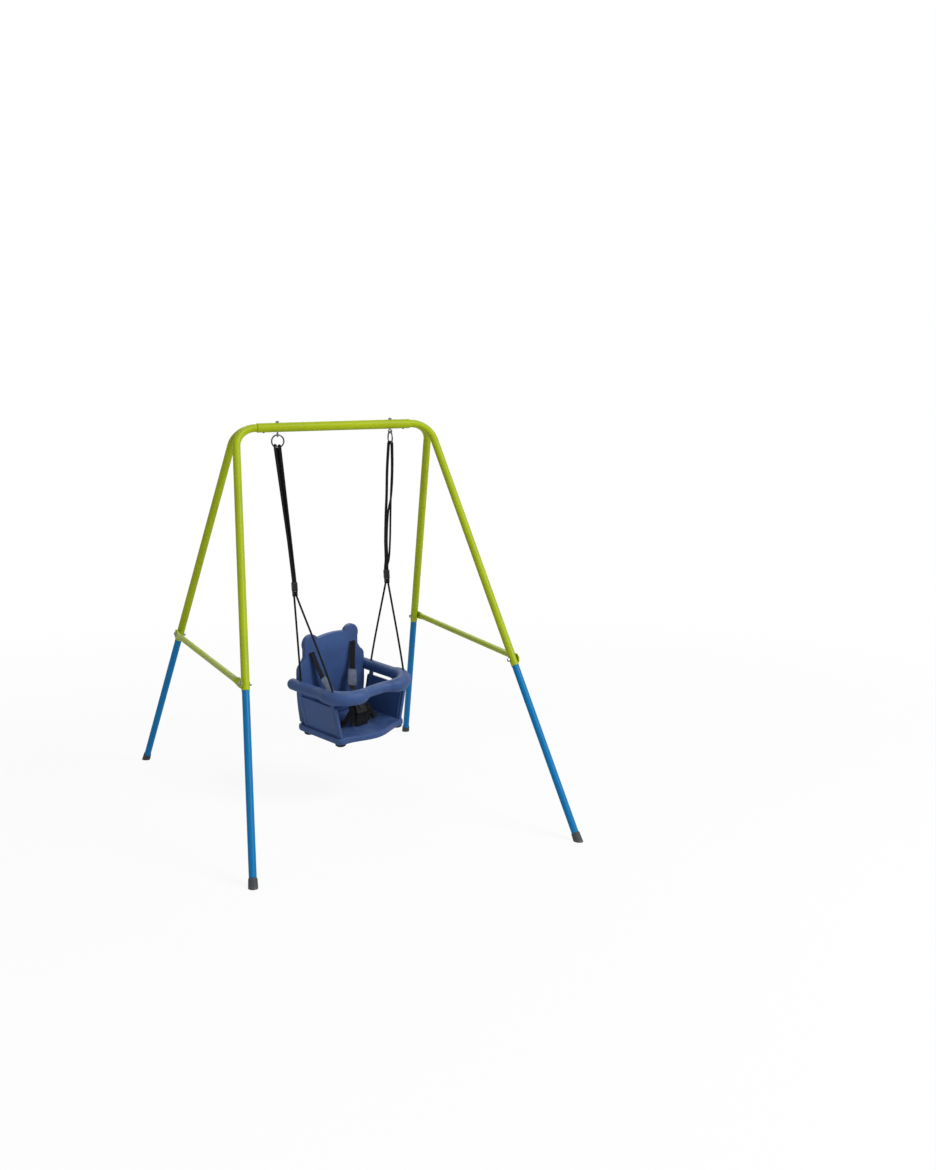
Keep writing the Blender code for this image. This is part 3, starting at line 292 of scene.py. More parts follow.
class Effects:
    """Surface effects that several finishes share, each built once as a node group."""

    made: dict[str, bpy.types.NodeTree] = {}
    # Three directions of scratches: how far each is turned, and its scale along the three axes.
    scratches: tuple[tuple[float, Point], ...] = (
        (0.5, (900.0, 60.0, 60.0)), (2.1, (60.0, 50.0, 700.0)), (1.2, (70.0, 800.0, 90.0)))
    # A rope strand's fibres for each of its diamonds.
    fibres: int = 12

    @classmethod
    def group(cls, name: str, inputs: dict[str, float | None],
              outputs: tuple[str, ...]) -> tuple[Graph, bpy.types.bpy_prop_collection, Node]:
        """Open a new group.

        Args:
            name: The effect's name.
            inputs: Names and default values, with None for a vector.
            outputs: The names of its number outputs.

        Returns:
            A graph to build in, the sockets that bring the inputs, and the node that takes the outputs.
        """
        tree = bpy.data.node_groups.new(name, "ShaderNodeTree")
        for label, default in inputs.items():
            kind = "NodeSocketVector" if default is None else "NodeSocketFloat"
            socket = tree.interface.new_socket(label, in_out="INPUT", socket_type=kind)
            if default is not None:
                socket.default_value = default
        for label in outputs:
            tree.interface.new_socket(label, in_out="OUTPUT", socket_type="NodeSocketFloat")
        cls.made[name] = tree
        graph = Graph(tree)
        return graph, graph.add("NodeGroupInput").outputs, graph.add("NodeGroupOutput")

    @classmethod
    def place(cls, graph: Graph, name: str, **inputs: object) -> bpy.types.bpy_prop_collection:
        """Put a group into a material's graph, and build it first where it is new.

        Args:
            graph: The material's graph.
            name: The effect's name, which is its method's name too.
            inputs: The group's inputs, as values or sockets.

        Returns:
            The group's outputs, by name.
        """
        if name not in cls.made:
            getattr(cls, name)()
        return graph.add("Group", {"node_tree": cls.made[name]}, **inputs).outputs

    @classmethod
    def peel(cls) -> None:
        """Orange peel: the low ripple of sprayed powder, with a few larger swells."""
        graph, given, result = cls.group("peel", {"Vector": None, "Scale": 600.0}, ("Height", "Tone"))
        fine = graph.noise(given["Vector"], given["Scale"])
        swell = graph.noise(given["Vector"], scale=60.0, detail=1.0)
        cloud = graph.noise(given["Vector"], scale=7.0, detail=4.0)
        graph.wire(result, Height=graph.plus(graph.times(swell, 0.8), fine),
                   Tone=graph.spread(cloud, low=0.3, high=0.7))

    @classmethod
    def grain(cls) -> None:
        """Spark-eroded mould grain: fine rounded cells over a finer noise."""
        graph, given, result = cls.group("grain", {"Vector": None, "Scale": 900.0}, ("Height", "Tone"))
        cells = graph.add("TexVoronoi", {"feature": "SMOOTH_F1"}, Vector=given["Vector"],
                          Scale=given["Scale"], Smoothness=0.6)
        fine = graph.noise(given["Vector"], given["Scale"], detail=3.0)
        flow = graph.noise(given["Vector"], scale=11.0, detail=5.0, rough=0.6)
        graph.wire(result, Height=graph.plus(graph.times(cells.outputs["Distance"], 0.9), fine),
                   Tone=graph.spread(flow, low=0.32, high=0.68))

    @classmethod
    def scuffs(cls) -> None:
        """Short hair scratches in loose patches, as handling leaves them."""
        graph, given, result = cls.group("scuffs", {"Vector": None, "Amount": 0.5}, ("Mask",))
        worst = 0.0
        for turn, stretch in cls.scratches:
            laid = graph.add("Mapping", Vector=given["Vector"], Rotation=(turn, turn * 0.7, turn * 1.3),
                             Scale=stretch)
            lines = graph.spread(graph.noise(laid.outputs[0], scale=1.0), low=0.70, high=0.78)
            worst = graph.math("MAXIMUM", worst, lines)
        patch = graph.spread(graph.noise(given["Vector"], scale=14.0, detail=3.0), low=0.50, high=0.68)
        graph.wire(result, Mask=graph.times(graph.times(worst, patch), given["Amount"]))

    @classmethod
    def dust(cls) -> None:
        """Pale dust on faces that look up, in soft patches; it also paints top light, lightening upward faces
        as light from above does.
        """
        graph, given, result = cls.group("dust", {"Vector": None, "Facing": None, "Amount": 0.3}, ("Mask",))
        upward = graph.add("SeparateXYZ", Vector=given["Facing"]).outputs["Z"]
        settled = graph.spread(upward, low=0.35, high=1.0)
        cloud = graph.noise(given["Vector"], scale=24.0, detail=5.0, rough=0.65)
        patch = graph.spread(cloud, low=0.38, high=0.72)
        graph.wire(result, Mask=graph.times(graph.times(settled, patch), given["Amount"]))

    @classmethod
    def weave(cls) -> None:
        """Plain weave on a UV map in metres: warp over weft in turn."""
        graph, given, result = cls.group("weave", {"Vector": None, "Pitch": 0.001}, ("Height", "Tone"))
        place = graph.add("SeparateXYZ", Vector=given["Vector"]).outputs
        turns = [graph.math("DIVIDE", place[axis], given["Pitch"]) for axis in ("X", "Y")]
        warp, weft = [graph.math("SINE", graph.times(turn, math.pi)) for turn in turns]
        cross = graph.times(warp, weft)
        fuzz = graph.noise(given["Vector"], scale=900.0, detail=3.0)
        lift = graph.times(graph.math("ABSOLUTE", warp), 0.5)
        graph.wire(result, Height=graph.plus(graph.times(cross, 0.4), lift),
                   Tone=graph.times(graph.spread(cross, low=-0.7, high=0.9), fuzz))

    @classmethod
    def braid(cls) -> None:
        """Diamond braid on a UV map of turns round the rope and metres along it."""
        graph, given, result = cls.group("braid", {"Vector": None, "Pitch": 0.006, "Strands": 4.0},
                                         ("Height", "Tone"))
        place = graph.add("SeparateXYZ", Vector=given["Vector"]).outputs
        along = graph.math("DIVIDE", place["Y"], given["Pitch"])
        around = graph.times(place["X"], given["Strands"])
        turns = [graph.math(operation, along, around) for operation in ("ADD", "SUBTRACT")]
        right, left = [graph.math("SINE", graph.times(turn, math.pi)) for turn in turns]
        cross = graph.math("ABSOLUTE", graph.times(right, left))
        fibre = graph.math("SINE", graph.times(graph.plus(along, around), math.pi * cls.fibres))
        graph.wire(result, Height=graph.plus(cross, graph.times(fibre, 0.06)),
                   Tone=graph.spread(cross, low=0.05, high=0.8))


@dataclass(frozen=True)
class Mark:
    """A kind of wear: where it lies, its colour, and how far it colours and roughens a finish."""

    mask: NodeSocket
    colour: Colour
    share: float = 0.0
    rough: float = 0.0


@dataclass(frozen=True)
class Finish:
    """What every finish has: a name, a colour and a roughness."""

    name: str
    colour: Colour
    roughness: float = 0.4

    def open(self, **settings: float) -> tuple[Material, Graph, Node, bpy.types.bpy_prop_collection]:
        """Start the material.

        Args:
            settings: Plain values for the Principled shader's inputs.

        Returns:
            The material, its graph, its Principled shader and its texture coordinates by name.
        """
        material = bpy.data.materials.new(self.name)
        material.use_nodes = True
        material.diffuse_color = (*self.colour, 1.0)
        graph = Graph(material.node_tree)
        shader = material.node_tree.nodes["Principled BSDF"]
        graph.wire(shader, **settings)
        return material, graph, shader, graph.add("TexCoord").outputs

    def surface(self, graph: Graph, shader: Node, tone: NodeSocket, tones: Pair, drift: Pair,
                *marks: Mark) -> None:
        """Lay the colour and the roughness on the shader, and then each kind of wear.

        Args:
            graph: The material's graph.
            shader: Its Principled shader.
            tone: A mask that shades the colour and the roughness.
            tones: The shade of the colour where the mask is 0 and where it is 1.
            drift: What is added to the roughness in the same two places.
            marks: The kinds of wear, from the lowest to the topmost.
        """
        laid = graph.blend(tone, *[self.shade(amount) for amount in tones])
        level = graph.spread(tone, 0.0, 1.0, *[self.roughness + amount for amount in drift])
        for mark in marks:
            if mark.share:
                laid = graph.blend(graph.times(mark.mask, mark.share), laid, mark.colour)
            if mark.rough:
                level = graph.plus(level, graph.times(mark.mask, mark.rough))
        graph.wire(shader, Base_Color=laid, Roughness=level)

    def relief(self, graph: Graph, shader: Node, height: NodeSocket, strength: float, depth: float) -> None:
        """Lay a bump on the shader, its depth in metres."""
        bump = graph.add("Bump", Height=height, Strength=strength, Distance=depth)
        graph.wire(shader, Normal=bump.outputs["Normal"])

    def shade(self, amount: float) -> Colour:
        """The finish's colour, made lighter above 1 and darker below it."""
        return tuple(min(channel * amount, 1.0) for channel in self.colour)

    def build(self) -> Material:
        """Make the material. Each kind of finish has its own."""
        raise NotImplementedError


@dataclass(frozen=True)
class PowderCoat(Finish):
    """Gloss powder paint on steel tube, with peel, hair scratches, and settled dust that also paints top
    light on upward faces.
    """

    scuff: float = 0.5
    # The share of pale dust and painted top light on upward faces.
    dusty: float = 0.04
    ripple: float = 420.0

    def build(self) -> Material:
        """Make the paint.

        Returns:
            The finished material.
        """
        material, graph, shader, place = self.open(Specular_IOR_Level=0.13, Coat_Weight=0.02,
                                                   Coat_Roughness=0.14)
        spot, facing = place["Object"], place["Normal"]
        peel = Effects.place(graph, "peel", Vector=spot, Scale=self.ripple)
        scuff = Effects.place(graph, "scuffs", Vector=spot, Amount=self.scuff)["Mask"]
        # Upward faces get pale dust and painted top light in one mask.
        dust = Effects.place(graph, "dust", Vector=spot, Facing=facing, Amount=self.dusty)["Mask"]
        self.surface(graph, shader, peel["Tone"], (0.94, 1.05), (-0.05, 0.06),
                     Mark(scuff, self.shade(1.5), share=0.45, rough=0.3),
                     Mark(dust, srgb(214, 210, 200), share=1.0, rough=0.5))
        self.relief(graph, shader, peel["Height"], strength=0.16, depth=0.00014)
        return material


@dataclass(frozen=True)
class PlatedSteel(Finish):
    """Zinc or nickel plate with drawn lines and a slight bloom."""

    bloom: float = 0.4
    scuff: float = 0.8
    darkest: float = 0.62
    drawn: Point = (3000.0, 3000.0, 120.0)

    def build(self) -> Material:
        """Make the plating.

        Returns:
            The finished material.
        """
        material, graph, shader, place = self.open(Metallic=1.0)
        spot = place["Object"]
        lines = graph.noise(graph.add("Mapping", Vector=spot, Scale=self.drawn).outputs[0], scale=1.0)
        cloud = graph.spread(graph.noise(spot, scale=130.0, detail=4.0, rough=0.6), low=0.35, high=0.70)
        scuff = Effects.place(graph, "scuffs", Vector=spot, Amount=self.scuff)["Mask"]
        self.surface(graph, shader, cloud, (1.0, 1.0 - (1.0 - self.darkest) * self.bloom), (0.0, 0.18),
                     Mark(scuff, self.shade(1.3), share=0.4), Mark(lines, self.colour, rough=0.08))
        self.relief(graph, shader, lines, strength=0.15, depth=0.00005)
        return material


@dataclass(frozen=True)
class MouldedPlastic(Finish):
    """Rotation or injection moulded plastic: satin grain, flow clouds, scratches, and dust that also paints
    top light on upward faces.
    """

    grain: float = 0.35
    # The share of pale dust and painted top light on upward faces.
    dusty: float = 0.13
    scuff: float = 0.8
    cell: float = 1100.0

    def build(self) -> Material:
        """Make the plastic.

        Returns:
            The finished material.
        """
        material, graph, shader, place = self.open(Specular_IOR_Level=0.30)
        spot, facing = place["Object"], place["Normal"]
        grain = Effects.place(graph, "grain", Vector=spot, Scale=self.cell)
        scuff = Effects.place(graph, "scuffs", Vector=spot, Amount=self.scuff)["Mask"]
        # Upward faces get pale dust and painted top light in one mask.
        dust = Effects.place(graph, "dust", Vector=spot, Facing=facing, Amount=self.dusty)["Mask"]
        self.surface(graph, shader, grain["Tone"], (0.88, 1.10), (-0.04, 0.07),
                     Mark(scuff, self.shade(1.9), share=0.35, rough=0.2),
                     Mark(dust, srgb(168, 170, 178), share=1.0, rough=0.4))
        self.relief(graph, shader, grain["Height"], strength=self.grain, depth=0.00018)
        return material


@dataclass(frozen=True)
class CapRubber(Finish):
    """Moulded rubber with a dull bloom, and grit where it stands on the ground."""

    grit_top: float = 0.012
    scuff: float = 0.9
    cell: float = 700.0

    def build(self) -> Material:
        """Make the rubber.

        Returns:
            The finished material.
        """
        material, graph, shader, place = self.open()
        spot = place["Object"]
        grain = Effects.place(graph, "grain", Vector=spot, Scale=self.cell)
        scuff = Effects.place(graph, "scuffs", Vector=spot, Amount=self.scuff)["Mask"]
        low = graph.spread(graph.add("SeparateXYZ", Vector=spot).outputs["Z"], low=self.grit_top, high=0.0)
        specks = graph.spread(graph.noise(spot, scale=260.0, detail=5.0, rough=0.7), low=0.42, high=0.62)
        self.surface(graph, shader, grain["Tone"], (0.75, 1.35), (0.0, 0.15),
                     Mark(scuff, self.shade(3.0), share=0.5),
                     Mark(graph.times(low, specks), srgb(126, 116, 102), share=0.55))
        self.relief(graph, shader, grain["Height"], strength=0.4, depth=0.0002)
        return material


@dataclass(frozen=True)
class BraidedCord(Finish):
    """Braided synthetic rope, read from a UV map of turns and metres."""

    pitch: float = 0.0062
    strands: float = 4.0

    def build(self) -> Material:
        """Make the rope's finish.

        Returns:
            The finished material.
        """
        material, graph, shader, place = self.open(Specular_IOR_Level=0.25, Sheen_Weight=0.05,
                                                   Sheen_Roughness=0.4)
        braid = Effects.place(graph, "braid", Vector=place["UV"], Pitch=self.pitch, Strands=self.strands)
        fade = graph.spread(graph.noise(place["Object"], scale=30.0, detail=4.0), low=0.35, high=0.7)
        self.surface(graph, shader, braid["Tone"], (0.45, 1.4), (FUZZ - self.roughness, 0.0),
                     Mark(fade, self.shade(2.0), share=0.25))
        self.relief(graph, shader, braid["Height"], strength=0.9, depth=0.0006)
        return material


@dataclass(frozen=True)
class WovenCloth(Finish):
    """Webbing or cover cloth, read from a UV map in metres."""

    pitch: float = 0.0012
    sheen: float = 0.08
    lift: float = 0.00025

    def build(self) -> Material:
        """Make the cloth.

        Returns:
            The finished material.
        """
        material, graph, shader, place = self.open(Specular_IOR_Level=0.25, Sheen_Weight=self.sheen,
                                                   Sheen_Roughness=0.5)
        weave = Effects.place(graph, "weave", Vector=place["UV"], Pitch=self.pitch)
        cloud = graph.noise(place["Object"], scale=45.0, detail=4.0, rough=0.6)
        fade = graph.spread(cloud, low=0.35, high=0.70)
        self.surface(graph, shader, weave["Tone"], (0.55, 1.35), (FUZZ - self.roughness, 0.0),
                     Mark(fade, self.shade(1.7), share=0.30))
        self.relief(graph, shader, weave["Height"], strength=0.8, depth=self.lift)
        return material


@dataclass(frozen=True)
class Palette:
    """Every finish of the set."""

    green: Finish = PowderCoat("green_powder_coat", srgb(162, 179, 18), 0.38)
    blue: Finish = PowderCoat("blue_powder_coat", srgb(0, 114, 174), 0.38)
    zinc: Finish = PlatedSteel("zinc_plate", srgb(140, 142, 148), 0.32, bloom=0.5)
    polished: Finish = PlatedSteel("polished_wire", srgb(96, 97, 100), 0.28, bloom=0.35)
    rubber: Finish = CapRubber("cap_rubber", srgb(48, 54, 56), 0.62)
    rope: Finish = BraidedCord("black_braid", srgb(11, 11, 15), 0.86)
    fitting: Finish = MouldedPlastic("black_fitting", srgb(17, 17, 21), 0.42, grain=0.25, dusty=0.10,
                                     scuff=0.6, cell=1500.0)
    # Its dust share also paints top light on the guard's upward faces.
    seat: Finish = MouldedPlastic("slate_blue_plastic", srgb(52, 79, 130), 0.48)
    webbing: Finish = WovenCloth("black_webbing", srgb(11, 13, 20), 0.86)
    padding: Finish = WovenCloth("grey_pad_cloth", srgb(100, 112, 132), 0.88, pitch=0.0010, sheen=0.25,
                                 lift=0.00018)
    # Black cloth of the crotch pad, which also stands for painted shade under the guard.
    lining: Finish = WovenCloth("black_pad_cloth", srgb(8, 10, 13), 0.90, pitch=0.0011, sheen=0.15,
                                lift=0.00018)
    edging: Finish = WovenCloth("black_piping", srgb(20, 21, 26), 0.86, pitch=0.0008, sheen=0.15,
                                lift=0.00012)
    piping: Finish = WovenCloth("grey_piping", srgb(84, 92, 108), 0.84, pitch=0.0008, sheen=0.3, lift=0.00012)
    thread: Finish = WovenCloth("stitch_thread", srgb(66, 70, 84), 0.70, pitch=0.0006, sheen=0.2, lift=0.0001)
    button: Finish = MouldedPlastic("dark_button", srgb(40, 41, 47), 0.28, grain=0.12, dusty=0.05, scuff=0.4,
                                    cell=1800.0)

    def make(self) -> dict[str, Material]:
        """Build every material, by its field's name."""
        return {name: getattr(self, name).build() for name in self.__dataclass_fields__}


class Path:
    """A smooth line through points, with a steady frame at every distance along it."""

    def __init__(self, points: list[Vector], facing: Vector | None = None, last_facing: Vector | None = None,
                 step: float = 0.002, soften: bool = True) -> None:
        """Sample the line.

        Args:
            points: The points it passes through.
            facing: The way the frame's third axis looks, or None to carry it along untwisted.
            last_facing: The way it looks at the end, for a strap that twists on the way.
            step: The longest distance between two samples.
            soften: True for a curve through the points, False for straight runs.
        """
        self.samples = self.sample([Vector(p) for p in points], step, soften)
        self.reach = [0.0]
        for before, after in zip(self.samples, self.samples[1:]):
            self.reach.append(self.reach[-1] + (after - before).length)
        self.length = self.reach[-1]
        self.frames = self.carry(facing, last_facing)

    @staticmethod
    def sample(points: list[Vector], step: float, soften: bool) -> list[Vector]:
        """Find points along the line, close enough together for a smooth sweep.

        Args:
            points: The points it passes through.
            step: The longest distance between two samples.
            soften: True for a curve, False for straight runs.

        Returns:
            The samples, from the first point to the last.
        """
        padded = [points[0] * 2 - points[1], *points, points[-1] * 2 - points[-2]]
        found = [points[0]]
        for a, b, c, d in zip(padded, padded[1:], padded[2:], padded[3:]):
            span = (c - b).length
            count = max(1, math.ceil(span / step))
            leave = (c - a) * min(1.0, span / max((c - a).length, TINY)) if soften else c - b
            arrive = (d - b) * min(1.0, span / max((d - b).length, TINY)) if soften else c - b
            for i in range(1, count + 1):
                t = i / count
                found.append(b * (2 * t ** 3 - 3 * t ** 2 + 1) + c * (3 * t ** 2 - 2 * t ** 3)
                             + leave * (t ** 3 - 2 * t ** 2 + t) + arrive * (t ** 3 - t ** 2))
        return found

    def carry(self, facing: Vector | None, last_facing: Vector | None) -> list[tuple[Vector, Vector, Vector]]:
        """Find the frame at every sample.

        Args:
            facing: The way its third axis looks, or None to carry it along untwisted.
            last_facing: The way it looks at the end, or None for no twist.

        Returns:
            The across, along and up axes of each sample.
        """
        frames = []
        last = len(self.samples) - 1
        up = facing
        for i in range(last + 1):
            run = (self.samples[min(i + 1, last)] - self.samples[max(i - 1, 0)]).normalized()
            if up is None:
                up = run.orthogonal()
            if last_facing is not None:
                up = facing.lerp(last_facing, ramp(self.reach[i] / self.length, *TWIST))
            across = run.cross(up).normalized()
            up_here = across.cross(run).normalized()
            frames.append((across, run, up_here))
            up = up_here if facing is None else facing
        return frames

    def place(self, distance: float) -> Matrix:
        """Find the frame between samples.

        Args:
            distance: How far along the line, from 0 to its length.

        Returns:
            The frame there, with Y along the line.
        """
        distance = min(max(distance, 0.0), self.length)
        low, high = 0, len(self.reach) - 1
        while high - low > 1:
            middle = (low + high) // 2
            low, high = (middle, high) if self.reach[middle] <= distance else (low, middle)
        share = (distance - self.reach[low]) / max(self.reach[high] - self.reach[low], TINY)
        spot = self.samples[low].lerp(self.samples[high], share)
        axes = [a.lerp(b, share).normalized() for a, b in zip(self.frames[low], self.frames[high])]
        return Matrix.Translation(spot) @ Matrix(axes).transposed().to_4x4()

    def bend(self, bm: BMesh) -> None:
        """Lay a straight mesh, modelled along Y from 0, onto the line."""
        for vert in bm.verts:
            vert.co = self.place(vert.co.y) @ Vector((vert.co.x, 0.0, vert.co.z))


def rounded(points: list[Vector], radius: float, steps: int) -> list[Vector]:
    """Replace each inner corner of a polyline by an arc.

    Args:
        points: The polyline.
        radius: The arc's radius.
        steps: The straight pieces in one arc.

    Returns:
        The points of the new line.
    """
    path = [points[0]]
    for before, corner, after in zip(points, points[1:], points[2:]):
        a, b = (corner - before).normalized(), (after - corner).normalized()
        turn = a.angle(b)
        centre = corner + (b - a).normalized() * radius / math.cos(turn / 2)
        first = corner - a * radius * math.tan(turn / 2) - centre
        axis = a.cross(b).normalized()
        path += [centre + Matrix.Rotation(turn * i / steps, 3, axis) @ first for i in range(steps + 1)]
    return [*path, points[-1]]


class Workshop:
    """Shared ways to make a piece from a bmesh and to register it."""

    @staticmethod
    def piece(name: str, bm: BMesh, materials: list[Material], body: Body, slot: str,
              replaces: tuple[str, ...] = (), sharp: float = 38.0) -> Object:
        """Turn a bmesh into a finished piece.

        Args:
            name: The piece's name.
            bm: The mesh, in place.
            materials: Its materials, in the order of the mesh's material indices.
            body: The body that carries it.
            slot: A slot name, handed on to register.
            replaces: The CAD nodes it stands for.
            sharp: The angle above which an edge stays sharp, in degrees.

        Returns:
            The new object.
        """
        bmesh.ops.recalc_face_normals(bm, faces=bm.faces[:])
        mesh = meshed(name, bm)
        mesh.shade_smooth()
        mesh.set_sharp_from_angle(angle=math.radians(sharp))
        made = linked(name, mesh)
        for material in materials:
            mesh.materials.append(material)
        return Workshop.register(made, body, slot, replaces)

    @staticmethod
    def register(made: Object, body: Body, slot: str, replaces: tuple[str, ...] = ()) -> Object:
        """Hang a piece on its body's empty, and hide the CAD nodes that it stands for.

        Args:
            made: The piece.
            body: The body that carries it.
            slot: Not used.
            replaces: The CAD nodes it stands for.

        Returns:
            The same piece.
        """
        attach(made, body.value)
        if replaces:
            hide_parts(*replaces)
        log.info("piece %s rides on %s, %d faces", made.name, body.value, len(made.data.polygons))
        return made

    @staticmethod
    def dress(material: Material, *nodes: str) -> None:
        """Give CAD nodes a finish.

        Args:
            material: The finish.
            nodes: The nodes' names.
        """
        for node in nodes:
            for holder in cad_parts[node].material_slots:
                holder.material = material
            log.info("node %s wears %s", node, material.name)

    @staticmethod
    def sleeve(path: Path, sides: int, step: float, section: Section, lip: float = 0.0) -> BMesh:
        """Roll a flat grid into a closed tube along a path, with a UV map of turns and metres.

        Args:
            path: The line it follows.
            sides: Its faces in one turn.
            step: The length of a face along the path.
            section: Gives a point of the section from a turn, 0 to 1, and a distance along the path.
            lip: The length at each end that gets finer faces, for a rolled edge.

        Returns:
            The tube's mesh, with both ends closed.
        """
        inner = path.length - 2 * lip
        rings = max(2, round(inner / step))
        quarter = math.pi / 2
        curl = [lip * (1 - math.cos(quarter * i / LIP_RINGS)) for i in range(LIP_RINGS)] if lip else []
        stations = curl + [lip + inner * i / rings for i in range(rings + 1)]
        stations += [path.length - distance for distance in reversed(curl)]
        last = len(stations) - 1
        bm = bmesh.new()
        bmesh.ops.create_grid(bm, x_segments=sides, y_segments=last, size=0.5)
        layer = bm.loops.layers.uv.new("UVMap")
        for face in bm.faces:
            for loop in face.loops:
                loop[layer].uv = (loop.vert.co.x + 0.5, stations[round((loop.vert.co.y + 0.5) * last)])
        places = [path.place(along) for along in stations]
        for vert in bm.verts:
            ring = round((vert.co.y + 0.5) * last)
            x, z = section(vert.co.x + 0.5, stations[ring])
            vert.co = places[ring] @ Vector((x, 0.0, z))
        bmesh.ops.remove_doubles(bm, verts=bm.verts[:], dist=WELD)
        bmesh.ops.holes_fill(bm, edges=[e for e in bm.edges if e.is_boundary], sides=0)
        return bm

    @staticmethod
    def round_section(radius: float, lip: float = 0.0, length: float = 0.0) -> Section:
        """Describe the section of a round tube.

        Args:
            radius: The tube's outer radius.
            lip: The radius of its rolled ends.
            length: The tube's length, where it has rolled ends.

        Returns:
            The section, which gives a point from a turn and a distance along the tube.
        """
        def section(turn: float, along: float) -> Pair:
            """Give a point of the section.

            Args:
                turn: How far round the tube, from 0 to 1.
                along: The distance along it.

            Returns:
                The point's two coordinates across the line.
            """
            near = min(along, length - along)
            roll = lip - math.sqrt(max(lip ** 2 - (lip - near) ** 2, 0.0)) if near < lip else 0.0
            angle = math.tau * turn
            return (radius - roll) * math.cos(angle), (radius - roll) * math.sin(angle)
        return section

    @staticmethod
    def hoop(radius: float, wire: float, place: Matrix, sides: int = 8, segments: int = 28) -> BMesh:
        """Spin a closed ring of round wire.

        Args:
            radius: The ring's radius, to the middle of its wire.
            wire: The wire's radius.
            place: The ring's frame, with Z as its axis.
            sides: The faces round the wire.
            segments: The faces round the ring.

        Returns:
            The ring's mesh, in place.
        """
        bm = bmesh.new()
        upright = Matrix.Translation((radius, 0, 0)) @ Matrix.Rotation(math.pi / 2, 4, "X")
        made = bmesh.ops.create_circle(bm, segments=sides, radius=wire, matrix=upright)
        bmesh.ops.spin(bm, geom=made["verts"] + bm.edges[:], cent=(0, 0, 0), axis=(0, 0, 1), angle=math.tau,
                       steps=segments, use_merge=True)
        bmesh.ops.remove_doubles(bm, verts=bm.verts[:], dist=WELD)
        bm.transform(place)
        return bm

    @staticmethod
    def merge(target: BMesh, other: BMesh, index: int = 0) -> None:
        """Add one mesh to another, and free it.

        Args:
            target: The mesh that grows.
            other: The mesh that is added.
            index: The material index that its faces get.
        """
        for face in other.faces:
            face.material_index = index
        spare = meshed("spare", other)
        target.from_mesh(spare)
        bpy.data.meshes.remove(spare)

    @staticmethod
    def tape(width: float, thickness: float, length: float, step: float, edge: float) -> BMesh:
        """Make a straight flat strap along Y, with a UV map in metres.

        Args:
            width, thickness, length: Its size.
            step: The length of a face along it.
            edge: The radius of its rounded long edges.

        Returns:
            The strap's mesh, from 0 along Y.
        """
        bm = bmesh.new()
        bmesh.ops.create_cube(bm, size=1.0)
        size = Matrix.Diagonal((width, length, thickness, 1.0))
        bm.transform(Matrix.Translation((0, length / 2, 0)) @ size)
        long = [e for e in bm.edges if abs((e.verts[0].co - e.verts[1].co).y) > length / 2]
        bmesh.ops.bevel(bm, geom=long, offset=edge, segments=3, affect="EDGES", profile=0.5, material=-1)
        count = max(2, round(length / step))
        cuts = [((x, 0, 0), (1, 0, 0)) for x in (-width / 4, 0.0, width / 4)]
        cuts += [((0, i * length / count, 0), (0, 1, 0)) for i in range(1, count)]
        for spot, normal in cuts:
            bmesh.ops.bisect_plane(bm, geom=bm.verts[:] + bm.edges[:] + bm.faces[:], dist=WELD,
                                   plane_co=spot, plane_no=normal)
        Workshop.flat_map(bm)
        return bm

    @staticmethod
    def flat_map(bm: BMesh) -> None:
        """Give a flat mesh a UV map in metres, laid from above and wrapped over the edges.

        Args:
            bm: The mesh.
        """
        layer = bm.loops.layers.uv.verify()
        for face in bm.faces:
            for loop in face.loops:
                x, y, z = loop.vert.co
                loop[layer].uv = (x + z, y)

    @staticmethod
    def stitch(bm: BMesh, spot: Vector, length: float, thread: float, index: int) -> None:
        """Add one stitch along Y, a small bead of thread.

        Args:
            bm: The mesh that gets it.
            spot: Its middle.
            length: Its length.
            thread: The thread's thickness.
            index: Its material index.
        """
        made = bmesh.ops.create_icosphere(bm, subdivisions=1, radius=0.5)["verts"]
        bmesh.ops.scale(bm, vec=(thread, length, thread * STITCH_RISE), verts=made)
        bmesh.ops.translate(bm, vec=spot, verts=made)
        for face in {f for v in made for f in v.link_faces}:
            face.material_index = index

    @staticmethod
    def stitches(bm: BMesh, rows: Pair, start: float, stop: float, top: float, pitch: float,
                 thread: float, share: float = 0.72) -> None:
        """Add rows of short stitches along Y, as material 1, lying on both faces of a strap.

        Args:
            bm: The straight strap.
            rows: The distances of the rows from its middle.
            start, stop: Where the rows begin and end.
            top: The height of the strap's face.
            pitch: The distance from one stitch to the next.
            thread: The thread's thickness.
            share: The part of the pitch that a stitch covers.
        """
        for x in rows:
            for i in range(int((stop - start) / pitch)):
                for face in (-1, 1):
                    spot = Vector((x, start + (i + 0.5) * pitch, face * top))
                    Workshop.stitch(bm, spot, pitch * share, thread, 1)


@dataclass(frozen=True)
class SoftLamp:
    """A soft square lamp that looks at the middle of the set."""

    name: str
    spot: Point
    size: float
    power: float
    target: Point = (0.0, 0.0, 0.6)

    def build(self) -> None:
        """Place the lamp."""
        data = bpy.data.lights.new(self.name, "AREA")
        data.shape = "SQUARE"
        data.size = self.size
        data.energy = self.power
        look = (Vector(self.target) - Vector(self.spot)).to_track_quat("-Z", "Y").to_matrix().to_4x4()
        linked(self.name, data).matrix_world = Matrix.Translation(self.spot) @ look


